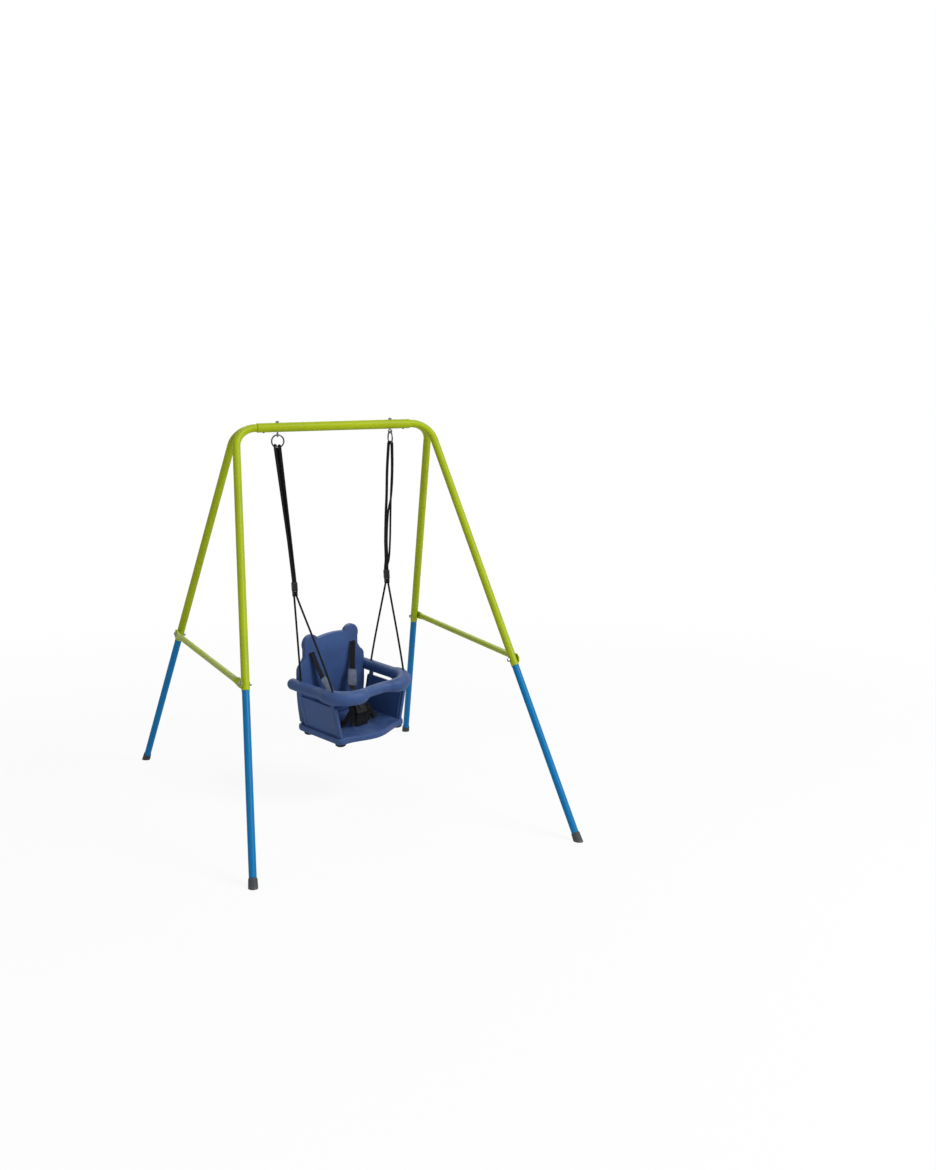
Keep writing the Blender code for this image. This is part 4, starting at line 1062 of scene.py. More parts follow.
@dataclass
class Studio:
    """The camera, the lamps, the world and the pale floor."""

    eye: Point = (-1.5601, -4.8224, 1.5015)
    yaw: float = -22.752
    pitch: float = 8.882
    roll: float = -0.4364
    focal_pixels: float = 1561.6
    photo_height: float = 1170.0
    sensor: float = 36.0
    far: float = 200.0
    ambient: float = 0.30
    floor_size: float = 60.0
    floor_tone: float = 0.86
    floor_roughness: float = 0.9
    floor_glow: Pair = (0.90, 1.0)
    floor_fade: Pair = (1.0, 4.2)
    lamps: tuple[SoftLamp, ...] = (
        SoftLamp("key", (2.6, -3.6, 4.6), size=2.4, power=250.0),
        SoftLamp("fill", (-3.6, -3.2, 2.4), size=3.0, power=20.0),
        SoftLamp("back", (0.5, 4.2, 3.6), size=2.6, power=45.0))

    def camera(self) -> None:
        """Place the camera where the photograph was taken from."""
        yaw, pitch, roll = (math.radians(angle) for angle in (self.yaw, self.pitch, self.roll))
        right = Vector((math.cos(yaw), math.sin(yaw), 0.0))
        level = Vector((-math.sin(yaw), math.cos(yaw), 0.0))
        forward = level * math.cos(pitch) - Vector((0, 0, math.sin(pitch)))
        up = right.cross(forward)
        turned = right * math.cos(roll) + up * math.sin(roll)
        upright = up * math.cos(roll) - right * math.sin(roll)
        data = bpy.data.cameras.new("photo_camera")
        data.sensor_fit = "VERTICAL"
        data.sensor_height = self.sensor
        data.lens = self.focal_pixels * self.sensor / self.photo_height
        data.clip_end = self.far
        camera = linked("photo_camera", data)
        axes = Matrix((turned, upright, -forward)).transposed().to_4x4()
        camera.matrix_world = Matrix.Translation(self.eye) @ axes
        bpy.context.scene.camera = camera

    def world(self) -> None:
        """A plain soft sky, white to the camera, in reflections and through glass."""
        world = bpy.data.worlds.new("studio")
        bpy.context.scene.world = world
        world.use_nodes = True
        graph = Graph(world.node_tree)
        rays = graph.add("LightPath").outputs
        seen = graph.math("MAXIMUM", rays["Is Camera Ray"], rays["Is Glossy Ray"])
        seen = graph.math("MAXIMUM", seen, rays["Is Transmission Ray"])
        lift = graph.times(seen, 1.0 - self.ambient)
        graph.wire(world.node_tree.nodes["Background"], Color=WHITE, Strength=graph.plus(lift, self.ambient))

    def floor(self) -> None:
        """A pale floor that keeps a soft shadow."""
        bm = bmesh.new()
        bmesh.ops.create_grid(bm, x_segments=4, y_segments=4, size=self.floor_size / 2)
        floor = linked("floor", meshed("floor", bm))
        material = bpy.data.materials.new("pale_floor")
        material.use_nodes = True
        graph = Graph(material.node_tree)
        shader = material.node_tree.nodes["Principled BSDF"]
        graph.wire(shader, Base_Color=(*[self.floor_tone] * 3, 1.0), Roughness=self.floor_roughness)
        glow = graph.add("Emission", Color=WHITE, Strength=1.0)
        rays = graph.add("LightPath").outputs
        away = graph.add("VectorMath", {"operation": "LENGTH"})
        graph.feed(away.inputs[0], graph.add("TexCoord").outputs["Object"])
        glow_share = graph.spread(away.outputs["Value"], *self.floor_fade, *self.floor_glow)
        mix = graph.add("MixShader")
        for index, source in enumerate((graph.times(rays["Is Camera Ray"], glow_share), shader.outputs[0],
                                        glow.outputs[0])):
            graph.feed(mix.inputs[index], source)
        graph.wire(material.node_tree.nodes["Material Output"], Surface=mix.outputs[0])
        floor.data.materials.append(material)

    def build(self) -> None:
        """Set up the whole studio."""
        bpy.context.scene.view_settings.view_transform = "Standard"
        self.camera()
        self.world()
        self.floor()
        for lamp in self.lamps:
            lamp.build()


@dataclass
class TubeFrame:
    """The standing frame: painted tubes with rolled ends, flat-ended braces, caps and plated fasteners."""

    materials: dict[str, Material]
    bar_height: float = BAR_HEIGHT
    corner_half: float = 0.325
    foot_half: Pair = (0.506, 0.745)
    bend: float = 0.072
    bend_steps: int = 24
    sleeve_half: float = 0.2575
    sleeve_overlap: float = 0.045
    sleeve_radius: float = 0.015
    tube_radius: float = 0.0125
    lower_radius: float = 0.0112
    upper_leg: float = 0.873
    leg_overlap: float = 0.055
    cap_floor: float = 0.0085
    back_start: float = 24.0
    lip: float = 0.0011
    sleeve_lip: float = 0.0018
    sides: int = 44
    step: float = 0.006
    brace_radius: float = 0.0095
    brace_rise: float = 0.023
    brace_flat: float = 0.022
    brace_taper: float = 0.028
    brace_thick: float = 0.003
    brace_tip: float = 0.014
    brace_nose: float = 0.008
    nose_pinch: float = 0.55
    nose_power: float = 1.8
    slot_power: float = 0.6
    sharp: float = 50.0
    gap: float = GAP

    def corner(self, side: Side) -> Vector:
        """The sharp corner that the bend rounds."""
        return Vector((side.value * self.corner_half, 0.0, self.bar_height))

    def foot(self, side: Side, end: End) -> Vector:
        """Where a leg's line meets the ground."""
        return Vector((side.value * self.foot_half[0], end.value * self.foot_half[1], 0.0))

    def run(self, side: Side, end: End) -> Vector:
        """The direction down a leg."""
        return (self.foot(side, end) - self.corner(side)).normalized()

    def normal(self, side: Side) -> Vector:
        """The outward normal of the plane that holds both legs of one side."""
        splay = self.foot_half[0] - self.corner_half
        return Vector((side.value * self.bar_height, 0.0, splay)).normalized()

    def upper_line(self, side: Side, end: End) -> list[Vector]:
        """Lay out an upper tube, from inside the sleeve round the corner and down.

        Args:
            side, end: The leg that it belongs to.

        Returns:
            The points of its line.
        """
        start = Vector((side.value * (self.sleeve_half - self.sleeve_overlap), 0.0, self.bar_height))
        finish = self.corner(side) + self.run(side, end) * self.upper_leg
        return rounded([start, self.corner(side), finish], self.bend, self.bend_steps)

    def tube(self, name: str, points: list[Vector], radius: float, lip: float, colour: str = "green") -> None:
        """Make one tube and let it stand for its solid.

        Args:
            name: The solid's name.
            points: The tube's line, straight from point to point.
            radius: Its outer radius.
            lip: The radius of its rolled ends.
            colour: Its paint, green or blue.
        """
        path = Path(points, step=self.step, soften=False)
        section = Workshop.round_section(radius, lip, path.length)
        bm = Workshop.sleeve(path, self.sides, self.step, section, lip)
        Workshop.piece(name + "_tube", bm, [self.materials[colour]], Body.FRAME, colour + "_paint", (name,),
                       self.sharp)

    def legs(self, side: Side) -> None:
        """Make the two upper legs and the two lower legs of a side.

        Args:
            side: The side.
        """
        self.tube(f"corner_leg_{side.label}", self.upper_line(side, End.FRONT), self.tube_radius, self.lip)
        back = self.upper_line(side, End.BACK)
        turn = math.degrees(Vector((side.value, 0, 0)).angle(self.run(side, End.BACK)))
        skip = 1 + round(self.back_start / turn * self.bend_steps)
        self.tube(f"back_leg_{side.label}", back[skip:], self.tube_radius, self.lip)
        for end in End:
            top = self.corner(side) + self.run(side, end) * (self.upper_leg - self.leg_overlap)
            low = self.foot(side, end) - self.run(side, end) * self.cap_floor
            name = f"lower_leg_{end.label}_{side.label}"
            self.tube(name, [top, low], self.lower_radius, self.lip, "blue")

    def brace(self, side: Side) -> None:
        """Make a tube pressed flat at both ends, which is bolted across the outer side of the legs.

        Args:
            side: The side.
        """
        normal = self.normal(side)
        middle = self.corner(side) + self.run(side, End.FRONT) * (self.upper_leg - self.brace_rise)
        half = abs(middle.y)
        middle.y = 0.0
        middle += normal * (self.tube_radius + self.gap + self.brace_thick / 2)
        reach = half + self.brace_tip
        ends = [middle + Vector((0, end.value * reach, 0)) for end in End]
        path = Path(ends, normal, step=self.step, soften=False)
        slot_half = math.pi * self.brace_radius / 2 - self.brace_thick / 4
        pressed = self.brace_tip + self.brace_flat

        def section(turn: float, along: float) -> Pair:
            """Round in the middle, an oval slot at the ends, with a rounded nose.

            Args:
                turn: How far round the tube, from 0 to 1.
                along: The distance along it.

            Returns:
                The point's two coordinates across the line.
            """
            near = min(along, path.length - along)
            flat = 1.0 - ramp(near, pressed, pressed + self.brace_taper)
            nose = 1.0 - self.nose_pinch * max(0.0, 1.0 - near / self.brace_nose) ** self.nose_power
            wide = (self.brace_radius + (slot_half - self.brace_radius) * flat) * nose
            thick = self.brace_radius + (self.brace_thick / 2 - self.brace_radius) * flat
            power = 1.0 - self.slot_power * flat
            c, s = math.cos(math.tau * turn), math.sin(math.tau * turn)
            return math.copysign(abs(c) ** power, c) * wide, math.copysign(abs(s) ** power, s) * thick
        bm = Workshop.sleeve(path, self.sides, self.step / 2, section, self.brace_nose)
        name = f"brace_{side.label}"
        Workshop.piece(name + "_tube", bm, [self.materials["green"]], Body.FRAME, "green_paint", (name,),
                       self.sharp)

    def build(self) -> None:
        """Make the tubes, and dress the caps and fasteners."""
        ends = [Vector((side.value * self.sleeve_half, 0.0, self.bar_height)) for side in Side]
        self.tube("crossbar", ends, self.sleeve_radius, self.sleeve_lip)
        for side in Side:
            self.legs(side)
            self.brace(side)
        Workshop.dress(self.materials["rubber"], *[f"foot_cap_{corner}" for corner in CORNERS])
        bolts = [f"joint_{kind}_{corner}" for kind in ("bolt", "nut") for corner in CORNERS]
        screws = [f"{kind}_{side}" for kind in ("sleeve_screw", "eye_bolt", "eye_nut") for side in SIDES]
        Workshop.dress(self.materials["zinc"], *bolts, *screws)


@dataclass
class SeatPose:
    """Where the hanging seat is: its own frame has X across, -Y to its front and Z up its back."""

    centre: Point = (0.0340, -0.0308, 0.4145)
    turn: float = 22.5
    tilt: float = 4.5
    lean: float = 5.2

    def matrix(self) -> Matrix:
        """Work out where the seat hangs.

        Returns:
            The seat's frame in the set's own.
        """
        turn = Matrix.Rotation(math.radians(self.turn), 4, "Z")
        tilt = Matrix.Rotation(-math.radians(self.tilt), 4, "Y")
        lean = Matrix.Rotation(math.radians(self.lean), 4, "X")
        return Matrix.Translation(self.centre) @ turn @ tilt @ lean


@dataclass
class Rigging:
    """The rings, the adjusters and every rope, braided from end to end."""

    materials: dict[str, Material]
    seat: Matrix
    rope: float = 0.006
    gap: float = GAP
    bar_height: float = BAR_HEIGHT
    sleeve: float = 0.030
    hang_half: float = 0.190
    eye: float = 0.016
    eye_wire: float = 0.0045
    ring: float = 0.045
    ring_wire: float = 0.005
    rope_lift: float = 0.0008
    rope_pitch: float = 0.0064
    loop_spread: float = 0.0045
    bundle_out: float = 0.0097
    bundle_in: float = 0.0033
    bundle_lean: float = 0.0034
    adjust_top: float = 0.042
    socket_depth: float = 0.021
    eye_bar: float = 0.009
    guard_half: float = GUARD_HALF
    guard_radius: float = GUARD_RADIUS
    hole_half: float = HOLE_HALF
    hole_radius: Pair = (0.024, 0.019)
    base_hole_half: float = 0.1235
    base_foot: float = -0.182
    stop_bite: float = 0.0063
    adjusters: tuple[Point, Point] = ((-0.1520, -0.0220, 0.6960), (0.1790, 0.0220, 0.7100))
    front_outer: tuple[Pair, ...] = ((1.085, 0.0088), (1.000, 0.0062), (0.945, -0.0030),
                                                    (0.850, -0.0052), (0.785, -0.0010))
    rear_outer: tuple[Pair, ...] = ((1.085, 0.0088), (1.000, 0.0078), (0.945, 0.0080),
                                                   (0.850, 0.0086), (0.785, 0.0058))
    inner: tuple[Pair, ...] = ((1.085, -0.0088), (1.000, -0.0084), (0.945, -0.0094),
                                              (0.850, -0.0090), (0.785, -0.0058))
    strand_depth: float = 0.0036
    loop_steps: int = 8
    crown_steps: int = 12
    route_step: float = 0.0015
    strand_faces: int = 4
    diamonds: int = 8
    braid_step: float = 0.0010
    braid_pitch: float = 0.0062
    braid_depth: float = 0.00036
    braid_power: float = 0.6
    fullness: float = 0.00044
    ring_faces: tuple[int, int] = (16, 64)

    def adjuster(self, side: Side) -> Matrix:
        """Find an adjuster's frame.

        Args:
            side: The side it hangs on.

        Returns:
            Its frame, with X along the rocking axis, Z up and the origin in the middle of its eye bar.
        """
        left, right = (Vector(spot) for spot in self.adjusters)
        along = (right - left).normalized()
        up = (Vector((0, 0, 1)) - along * along.z).normalized()
        turn = Matrix((along, up.cross(along), up)).transposed().to_4x4()
        return Matrix.Translation(left if side is Side.LEFT else right) @ turn

    def ring_low(self, side: Side) -> Vector:
        """Find where the ropes lie over a ring.

        Args:
            side: The side it hangs on.

        Returns:
            The middle of the ring's lowest wire, raised by the ropes' lift.
        """
        eye = self.bar_height - self.sleeve / 2 - self.gap - self.eye / 2
        top = eye - (self.eye - self.eye_wire) / 2 + (self.eye_wire + self.ring_wire) / 2 + self.gap
        low = top - (self.ring - self.ring_wire) + self.rope_lift
        return Vector((side.value * self.hang_half, 0.0, low))

    def socket(self, side: Side, across: int, deep: int) -> list[Vector]:
        """End a strand in its corner of the adjuster's socket.

        Args:
            side: The adjuster's side.
            across, deep: The corner, as -1 or 1 along the adjuster's X and Y.

        Returns:
            The strand's last two points, above the socket and at its floor.
        """
        place = self.adjuster(side)
        x, y = across * self.rope_pitch / 2, deep * self.rope_pitch / 2
        heights = (self.adjust_top + self.rope, self.adjust_top - self.socket_depth + self.gap)
        return [place @ Vector((x, y, z)) for z in heights]

    def loop(self, side: Side, sign: int) -> list[Vector]:
        """Lay one of two loops side by side over a ring.

        Args:
            side: The ring's side.
            sign: -1 or 1 for the two loops.

        Returns:
            The loop's points.
        """
        low = self.ring_low(side)
        over = (self.ring_wire + self.rope) / 2 + self.gap
        half_turn = arc(over, 0, 180, self.loop_steps)
        if side is Side.RIGHT:
            return [low + Vector((c, sign * self.loop_spread, s)) for c, s in half_turn]
        radius = (self.ring - self.ring_wire) / 2
        middle, half = (self.bundle_out + self.bundle_in) / 2, (self.bundle_out - self.bundle_in) / 2
        points = []
        for c, s in half_turn:
            x = middle - half * c / over
            across = sign * x - self.bundle_lean * (1 - c / over) / 2
            rise = radius - math.sqrt(radius ** 2 - across ** 2)
            points.append(low + Vector((across, c, s + rise)))
        return points

    def crossing(self, sign: int) -> tuple[list[Vector], list[Vector]]:
        """Bend a right rope's two strands: both bow a little, and the front one crosses over.

        Args:
            sign: -1 for the front rope and 1 for the rear one.

        Returns:
            The points of the outer and the inner strand, from the ring down.
        """
        low = self.ring_low(Side.RIGHT)
        line = self.adjuster(Side.RIGHT).translation - low
        outer = self.front_outer if sign < 0 else self.rear_outer
        depth = sign * self.strand_depth

        def way(offsets: tuple[Pair, ...]) -> list[Vector]:
            """The points beside the straight line, from heights and offsets."""
            return [low + line * ((z - low.z) / line.z) + Vector((x, depth, 0.0)) for z, x in offsets]
        return way(outer), way(self.inner)

    def hanging_route(self, side: Side, sign: int) -> list[Vector]:
        """Route a hanging rope, from its adjuster up over the ring and back.

        Args:
            side: The side it hangs on.
            sign: -1 for the front rope and 1 for the rear one.

        Returns:
            The rope's points.
        """
        if side is Side.LEFT:
            first, last, ways = (sign, 1), (sign, -1), ([], [])
        else:
            first, last, ways = (1, sign), (-1, sign), self.crossing(sign)
        up = self.socket(side, *first)[::-1] + ways[0][::-1]
        return up + self.loop(side, sign) + ways[1] + self.socket(side, *last)

    def seat_route(self, side: Side) -> list[Vector]:
        """Route a seat rope, up from the front stop, over the adjuster's bar and down to the rear stop.

        Args:
            side: The side it is on.

        Returns:
            The rope's points.
        """
        over = (self.eye_bar + self.rope) / 2 + self.gap
        place = self.adjuster(side)
        ends, tangents = [], []
        for end, radius in zip(End, self.hole_radius):
            y = end.value * self.hole_half
            high = Vector((side.value * self.guard_half, y, -self.guard_radius - radius))
            under = Vector((side.value * self.base_hole_half, y, self.base_foot))
            run = (high - under).normalized()
            mouth = Vector((high.x, y, radius - self.guard_radius + self.rope))
            ends.append([self.seat @ point for point in (under - run * self.stop_bite, high, mouth)])
            local = place.inverted() @ ends[-1][-1]
            lean = math.acos(over / math.hypot(local.y, local.z))
            tangents.append(math.atan2(local.z, local.y) + end.value * lean)
        first, last = math.degrees(tangents[0] % math.tau), math.degrees(tangents[1])
        crown = [place @ Vector((0.0, c, s)) for c, s in arc(over, first, last, self.crown_steps)]
        return ends[0] + crown + ends[1][::-1]

    def plait(self, turn: float, along: float) -> Pair:
        """Give the rope's section: rounded diamonds where strands pass over each other.

        Args:
            turn: How far round the rope, from 0 to 1.
            along: The distance along it.

        Returns:
            A point of the section.
        """
        left = math.sin(math.pi * (along / self.braid_pitch + turn * self.diamonds / 2))
        right = math.sin(math.pi * (along / self.braid_pitch - turn * self.diamonds / 2))
        dip = self.braid_depth * (1.0 - abs(left * right) ** self.braid_power)
        radius = self.rope / 2 + self.fullness - dip
        return radius * math.cos(math.tau * turn), radius * math.sin(math.tau * turn)

    def braid(self, name: str, route: list[Vector], body: Body) -> None:
        """Make one rope and let it stand for its solid.

        Args:
            name: The solid's name.
            route: The points that it passes through.
            body: The body that carries it.
        """
        path = Path(route, step=self.route_step)
        bm = Workshop.sleeve(path, self.strand_faces * self.diamonds, self.braid_step, self.plait)
        Workshop.piece(name + "_braid", bm, [self.materials["rope"]], body, "black_rope", (name,), ALL_SMOOTH)

    def build(self) -> None:
        """Bend the rings, dress the adjusters and lay the ropes."""
        radius = (self.ring - self.ring_wire) / 2
        for side, axis in ((Side.LEFT, "X"), (Side.RIGHT, "Y")):
            centre = self.ring_low(side) + Vector((0, 0, radius - self.rope_lift))
            place = Matrix.Translation(centre) @ Matrix.Rotation(math.pi / 2, 4, axis)
            hoop = Workshop.hoop(radius, self.ring_wire / 2, place, *self.ring_faces)
            name = "hang_ring_" + side.label
            Workshop.piece(name + "_wire", hoop, [self.materials["polished"]], Body.SWING, "polished_steel",
                           (name,))
        Workshop.dress(self.materials["fitting"], *[f"rope_adjuster_{side}" for side in SIDES])
        for side in Side:
            for end in End:
                name = f"hanging_rope_{end.label}_{side.label}"
                self.braid(name, self.hanging_route(side, end.value), Body.SWING)
            self.braid(f"seat_rope_{side.label}", self.seat_route(side), Body.SEAT)


@dataclass
class SeatShell:
    """The moulded seat: guard rail, side panels, base, back and rope stops."""

    materials: dict[str, Material]
    seat: Matrix
    hole_half: float = HOLE_HALF
    guard_half: float = GUARD_HALF
    guard_radius: float = GUARD_RADIUS
    lobe_radius: float = 0.0238
    rim: float = 0.0049
    rim_wire: float = 0.0011
    rim_sink: float = 0.0004
    back_face: float = BACK_FACE
    slot_places: tuple[Pair, ...] = (SHOULDER_SLOT, LAP_SLOT)
    slot_size: Pair = (0.025, 0.006)
    slot_wire: float = 0.0013
    guard_corner: float = 0.080
    guard_front: float = 0.130
    guard_rear: float = 0.118
    guard_setback: float = 0.016
    guard_tip: float = 0.9998
    guard_sides: int = 120
    guard_step: float = 0.004
    guard_run: float = 0.003
    lobe_swell: float = 0.005
    lobe_depth: Pair = (0.020, 0.060)
    lobe_span: Pair = (0.045, 0.085)
    waist: float = 0.001
    waist_span: Pair = (0.030, 0.060)
    setback_span: Pair = (0.030, 0.085)
    parting: float = 0.0004
    parting_width: float = 0.035
    back_thick: float = 0.018
    back_edge: float = 0.004
    back_sharp: float = 40.0
    # Each rounded place of the back's outline: its X and Z, and the radius of its arc.
    back_foot: Point = (0.134, -0.1597, 0.012)
    shoulder: Point = (0.143, 0.050, 0.030)
    ear: Point = (0.086, 0.106, 0.032)
    flank: tuple[Pair, ...] = ((0.1390, -0.110), (0.1418, -0.080), (0.143, -0.060))
    neck: tuple[Pair, ...] = ((0.1155, 0.065), (0.1152, 0.080))
    crown: float = 0.126
    crown_steps: int = 10

    def guard_reach(self, x: float, y: float) -> float:
        """Size the rail: a lobe round each front corner, slimmest in the middle, round at its rear ends.

        Args:
            x, y: A place on its centre line.

        Returns:
            Its radius there.
        """
        lobe = ramp(-y, *self.lobe_depth) * ramp(abs(x), *self.lobe_span)
        slim = ramp(abs(x), *self.waist_span)
        radius = self.guard_radius + self.lobe_swell * lobe - self.waist * (1 - slim)
        beyond = y - self.guard_rear
        return math.sqrt(max(radius ** 2 - beyond ** 2, 0.0)) if beyond > 0 else radius

    def guard_line(self) -> list[Vector]:
        """Lay out the rail's centre line.

        Returns:
            Its points, from the left rear end round the front to the right one.
        """
        inner = self.guard_half - self.guard_corner
        half = [(inner * share, -self.guard_front) for share in (0.0, 0.35, 0.7)]
        start = self.guard_corner - self.guard_front
        half += [(inner + x, start + y) for x, y in arc(self.guard_corner, -90, 0, 8)]
        straight = self.guard_rear - start
        half += [(self.guard_half, self.guard_rear - straight * share) for share in (0.66, 0.33, 0.0)]
        half = [(x, y + self.guard_setback * (1 - ramp(abs(x), *self.setback_span))) for x, y in half]
        half.append((self.guard_half, self.guard_rear + self.guard_radius * self.guard_tip))
        right = [Vector((x, y, -self.guard_radius)) for x, y in half]
        left = [Vector((-x, y, -self.guard_radius)) for x, y in half[1:]]
        return left[::-1] + right

    def guard(self) -> None:
        """The rail, with a fine parting line round its outer and inner side."""
        path = Path(self.guard_line(), Vector((0.0, 0.0, 1.0)), step=self.guard_run)

        def section(turn: float, along: float) -> Pair:
            """A round section with a raised line at half height.

            Args:
                turn: How far round the tube, from 0 to 1.
                along: The distance along it.

            Returns:
                The point's two coordinates across the line.
            """
            spot = path.place(along).translation
            radius = self.guard_reach(spot.x, spot.y)
            from_parting = abs((turn * 2 + 0.5) % 1.0 - 0.5)
            lift = self.parting * max(0.0, 1.0 - from_parting / self.parting_width)
            angle = math.tau * turn
            return (radius + lift) * math.cos(angle), (radius + lift) * math.sin(angle)
        bm = Workshop.sleeve(path, self.guard_sides, self.guard_step, section, self.guard_radius)
        bm.transform(self.seat)
        Workshop.piece("guard_rail_moulding", bm, [self.materials["seat"]], Body.SEAT, "blue_plastic",
                       ("guard_rail",), ALL_SMOOTH)

    def back_outline(self) -> list[Pair]:
        """Draw the back: straight sides, shoulders, neck, round ears and a low crown.

        Returns:
            The points of its outline, as X and Z.
        """
        wide, low, r = self.back_foot
        half = [(wide - r, low)] + [(wide - r + x, low + r + z) for x, z in arc(r, -60, 0, 5)]
        wide, high, r = self.shoulder
        half += [*self.flank, (wide, high - 1.3 * r)]
        half += [(wide - r + x, high - r + z) for x, z in arc(r, 12, 60, 8)]
        across, high, r = self.ear
        half += [*self.neck, *[(across + x, high + z) for x, z in arc(r, -24, 152, 28)]]
        edge, dip = half[-1][0], self.crown - half[-1][1]
        for i in range(1, self.crown_steps + 1):
            left = 1 - i / self.crown_steps
            half.append((edge * left, self.crown - dip * left ** 2))
        return half + [(-x, z) for x, z in half[-2::-1]]

    def back(self) -> None:
        """The back, a plate with softly rounded edges."""
        bm = bmesh.new()
        verts = [bm.verts.new((x, self.back_face, z)) for x, z in self.back_outline()]
        front = bm.faces.new(verts)
        made = bmesh.ops.extrude_face_region(bm, geom=[front])["geom"]
        moved = [item for item in made if isinstance(item, bmesh.types.BMVert)]
        bmesh.ops.translate(bm, vec=(0.0, self.back_thick, 0.0), verts=moved)
        rims = [e for e in bm.edges if abs(e.verts[0].co.y - e.verts[1].co.y) < WELD]
        bmesh.ops.bevel(bm, geom=rims, offset=self.back_edge, segments=5, affect="EDGES", profile=0.5,
                        material=-1)
        bmesh.ops.triangulate(bm, faces=[f for f in bm.faces if len(f.verts) > 4])
        bm.transform(self.seat)
        Workshop.piece("seat_back_moulding", bm, [self.materials["seat"]], Body.SEAT, "blue_plastic",
                       ("seat_back",), self.back_sharp)

    def rims(self) -> None:
        """Rolled rims round the rope holes in the top of the guard rail."""
        for side in Side:
            bm = bmesh.new()
            for end, radius in ((End.FRONT, self.lobe_radius), (End.BACK, self.guard_radius)):
                top = radius - self.guard_radius - self.rim_sink
                spot = Matrix.Translation((side.value * self.guard_half, end.value * self.hole_half, top))
                Workshop.merge(bm, Workshop.hoop(self.rim, self.rim_wire, self.seat @ spot))
            name = "rope_hole_rims_" + side.label
            Workshop.piece(name, bm, [self.materials["seat"]], Body.SEAT, "blue_plastic")

    def bezels(self) -> None:
        """Rolled edges round the four strap slots in the front of the back."""
        bm = bmesh.new()
        across, up = [(length + self.slot_wire) / 2 for length in self.slot_size]
        for side in Side:
            for x, z in self.slot_places:
                middle = Vector((side.value * x, self.back_face, z))
                ends = []
                for centre, start in ((1, -90), (-1, 90)):
                    hub = middle + Vector((centre * (across - up), 0.0, 0.0))
                    ends += [hub + Vector((c, 0.0, s)) for c, s in arc(up, start, start + 180, 8)]
                path = Path([self.seat @ point for point in [*ends, ends[0]]], soften=False)
                Workshop.merge(bm, Workshop.sleeve(path, 8, 0.002, Workshop.round_section(self.slot_wire)))
        Workshop.piece("strap_slot_bezels", bm, [self.materials["seat"]], Body.SEAT, "blue_plastic")

    def build(self) -> None:
        """Mould the guard and the back, dress the other mouldings and add the rims."""
        self.guard()
        self.back()
        Workshop.dress(self.materials["seat"], "seat_base", *[f"side_panel_{side}" for side in SIDES])
        Workshop.dress(self.materials["fitting"], *[f"rope_stop_{corner}" for corner in CORNERS])
        self.rims()
        self.bezels()


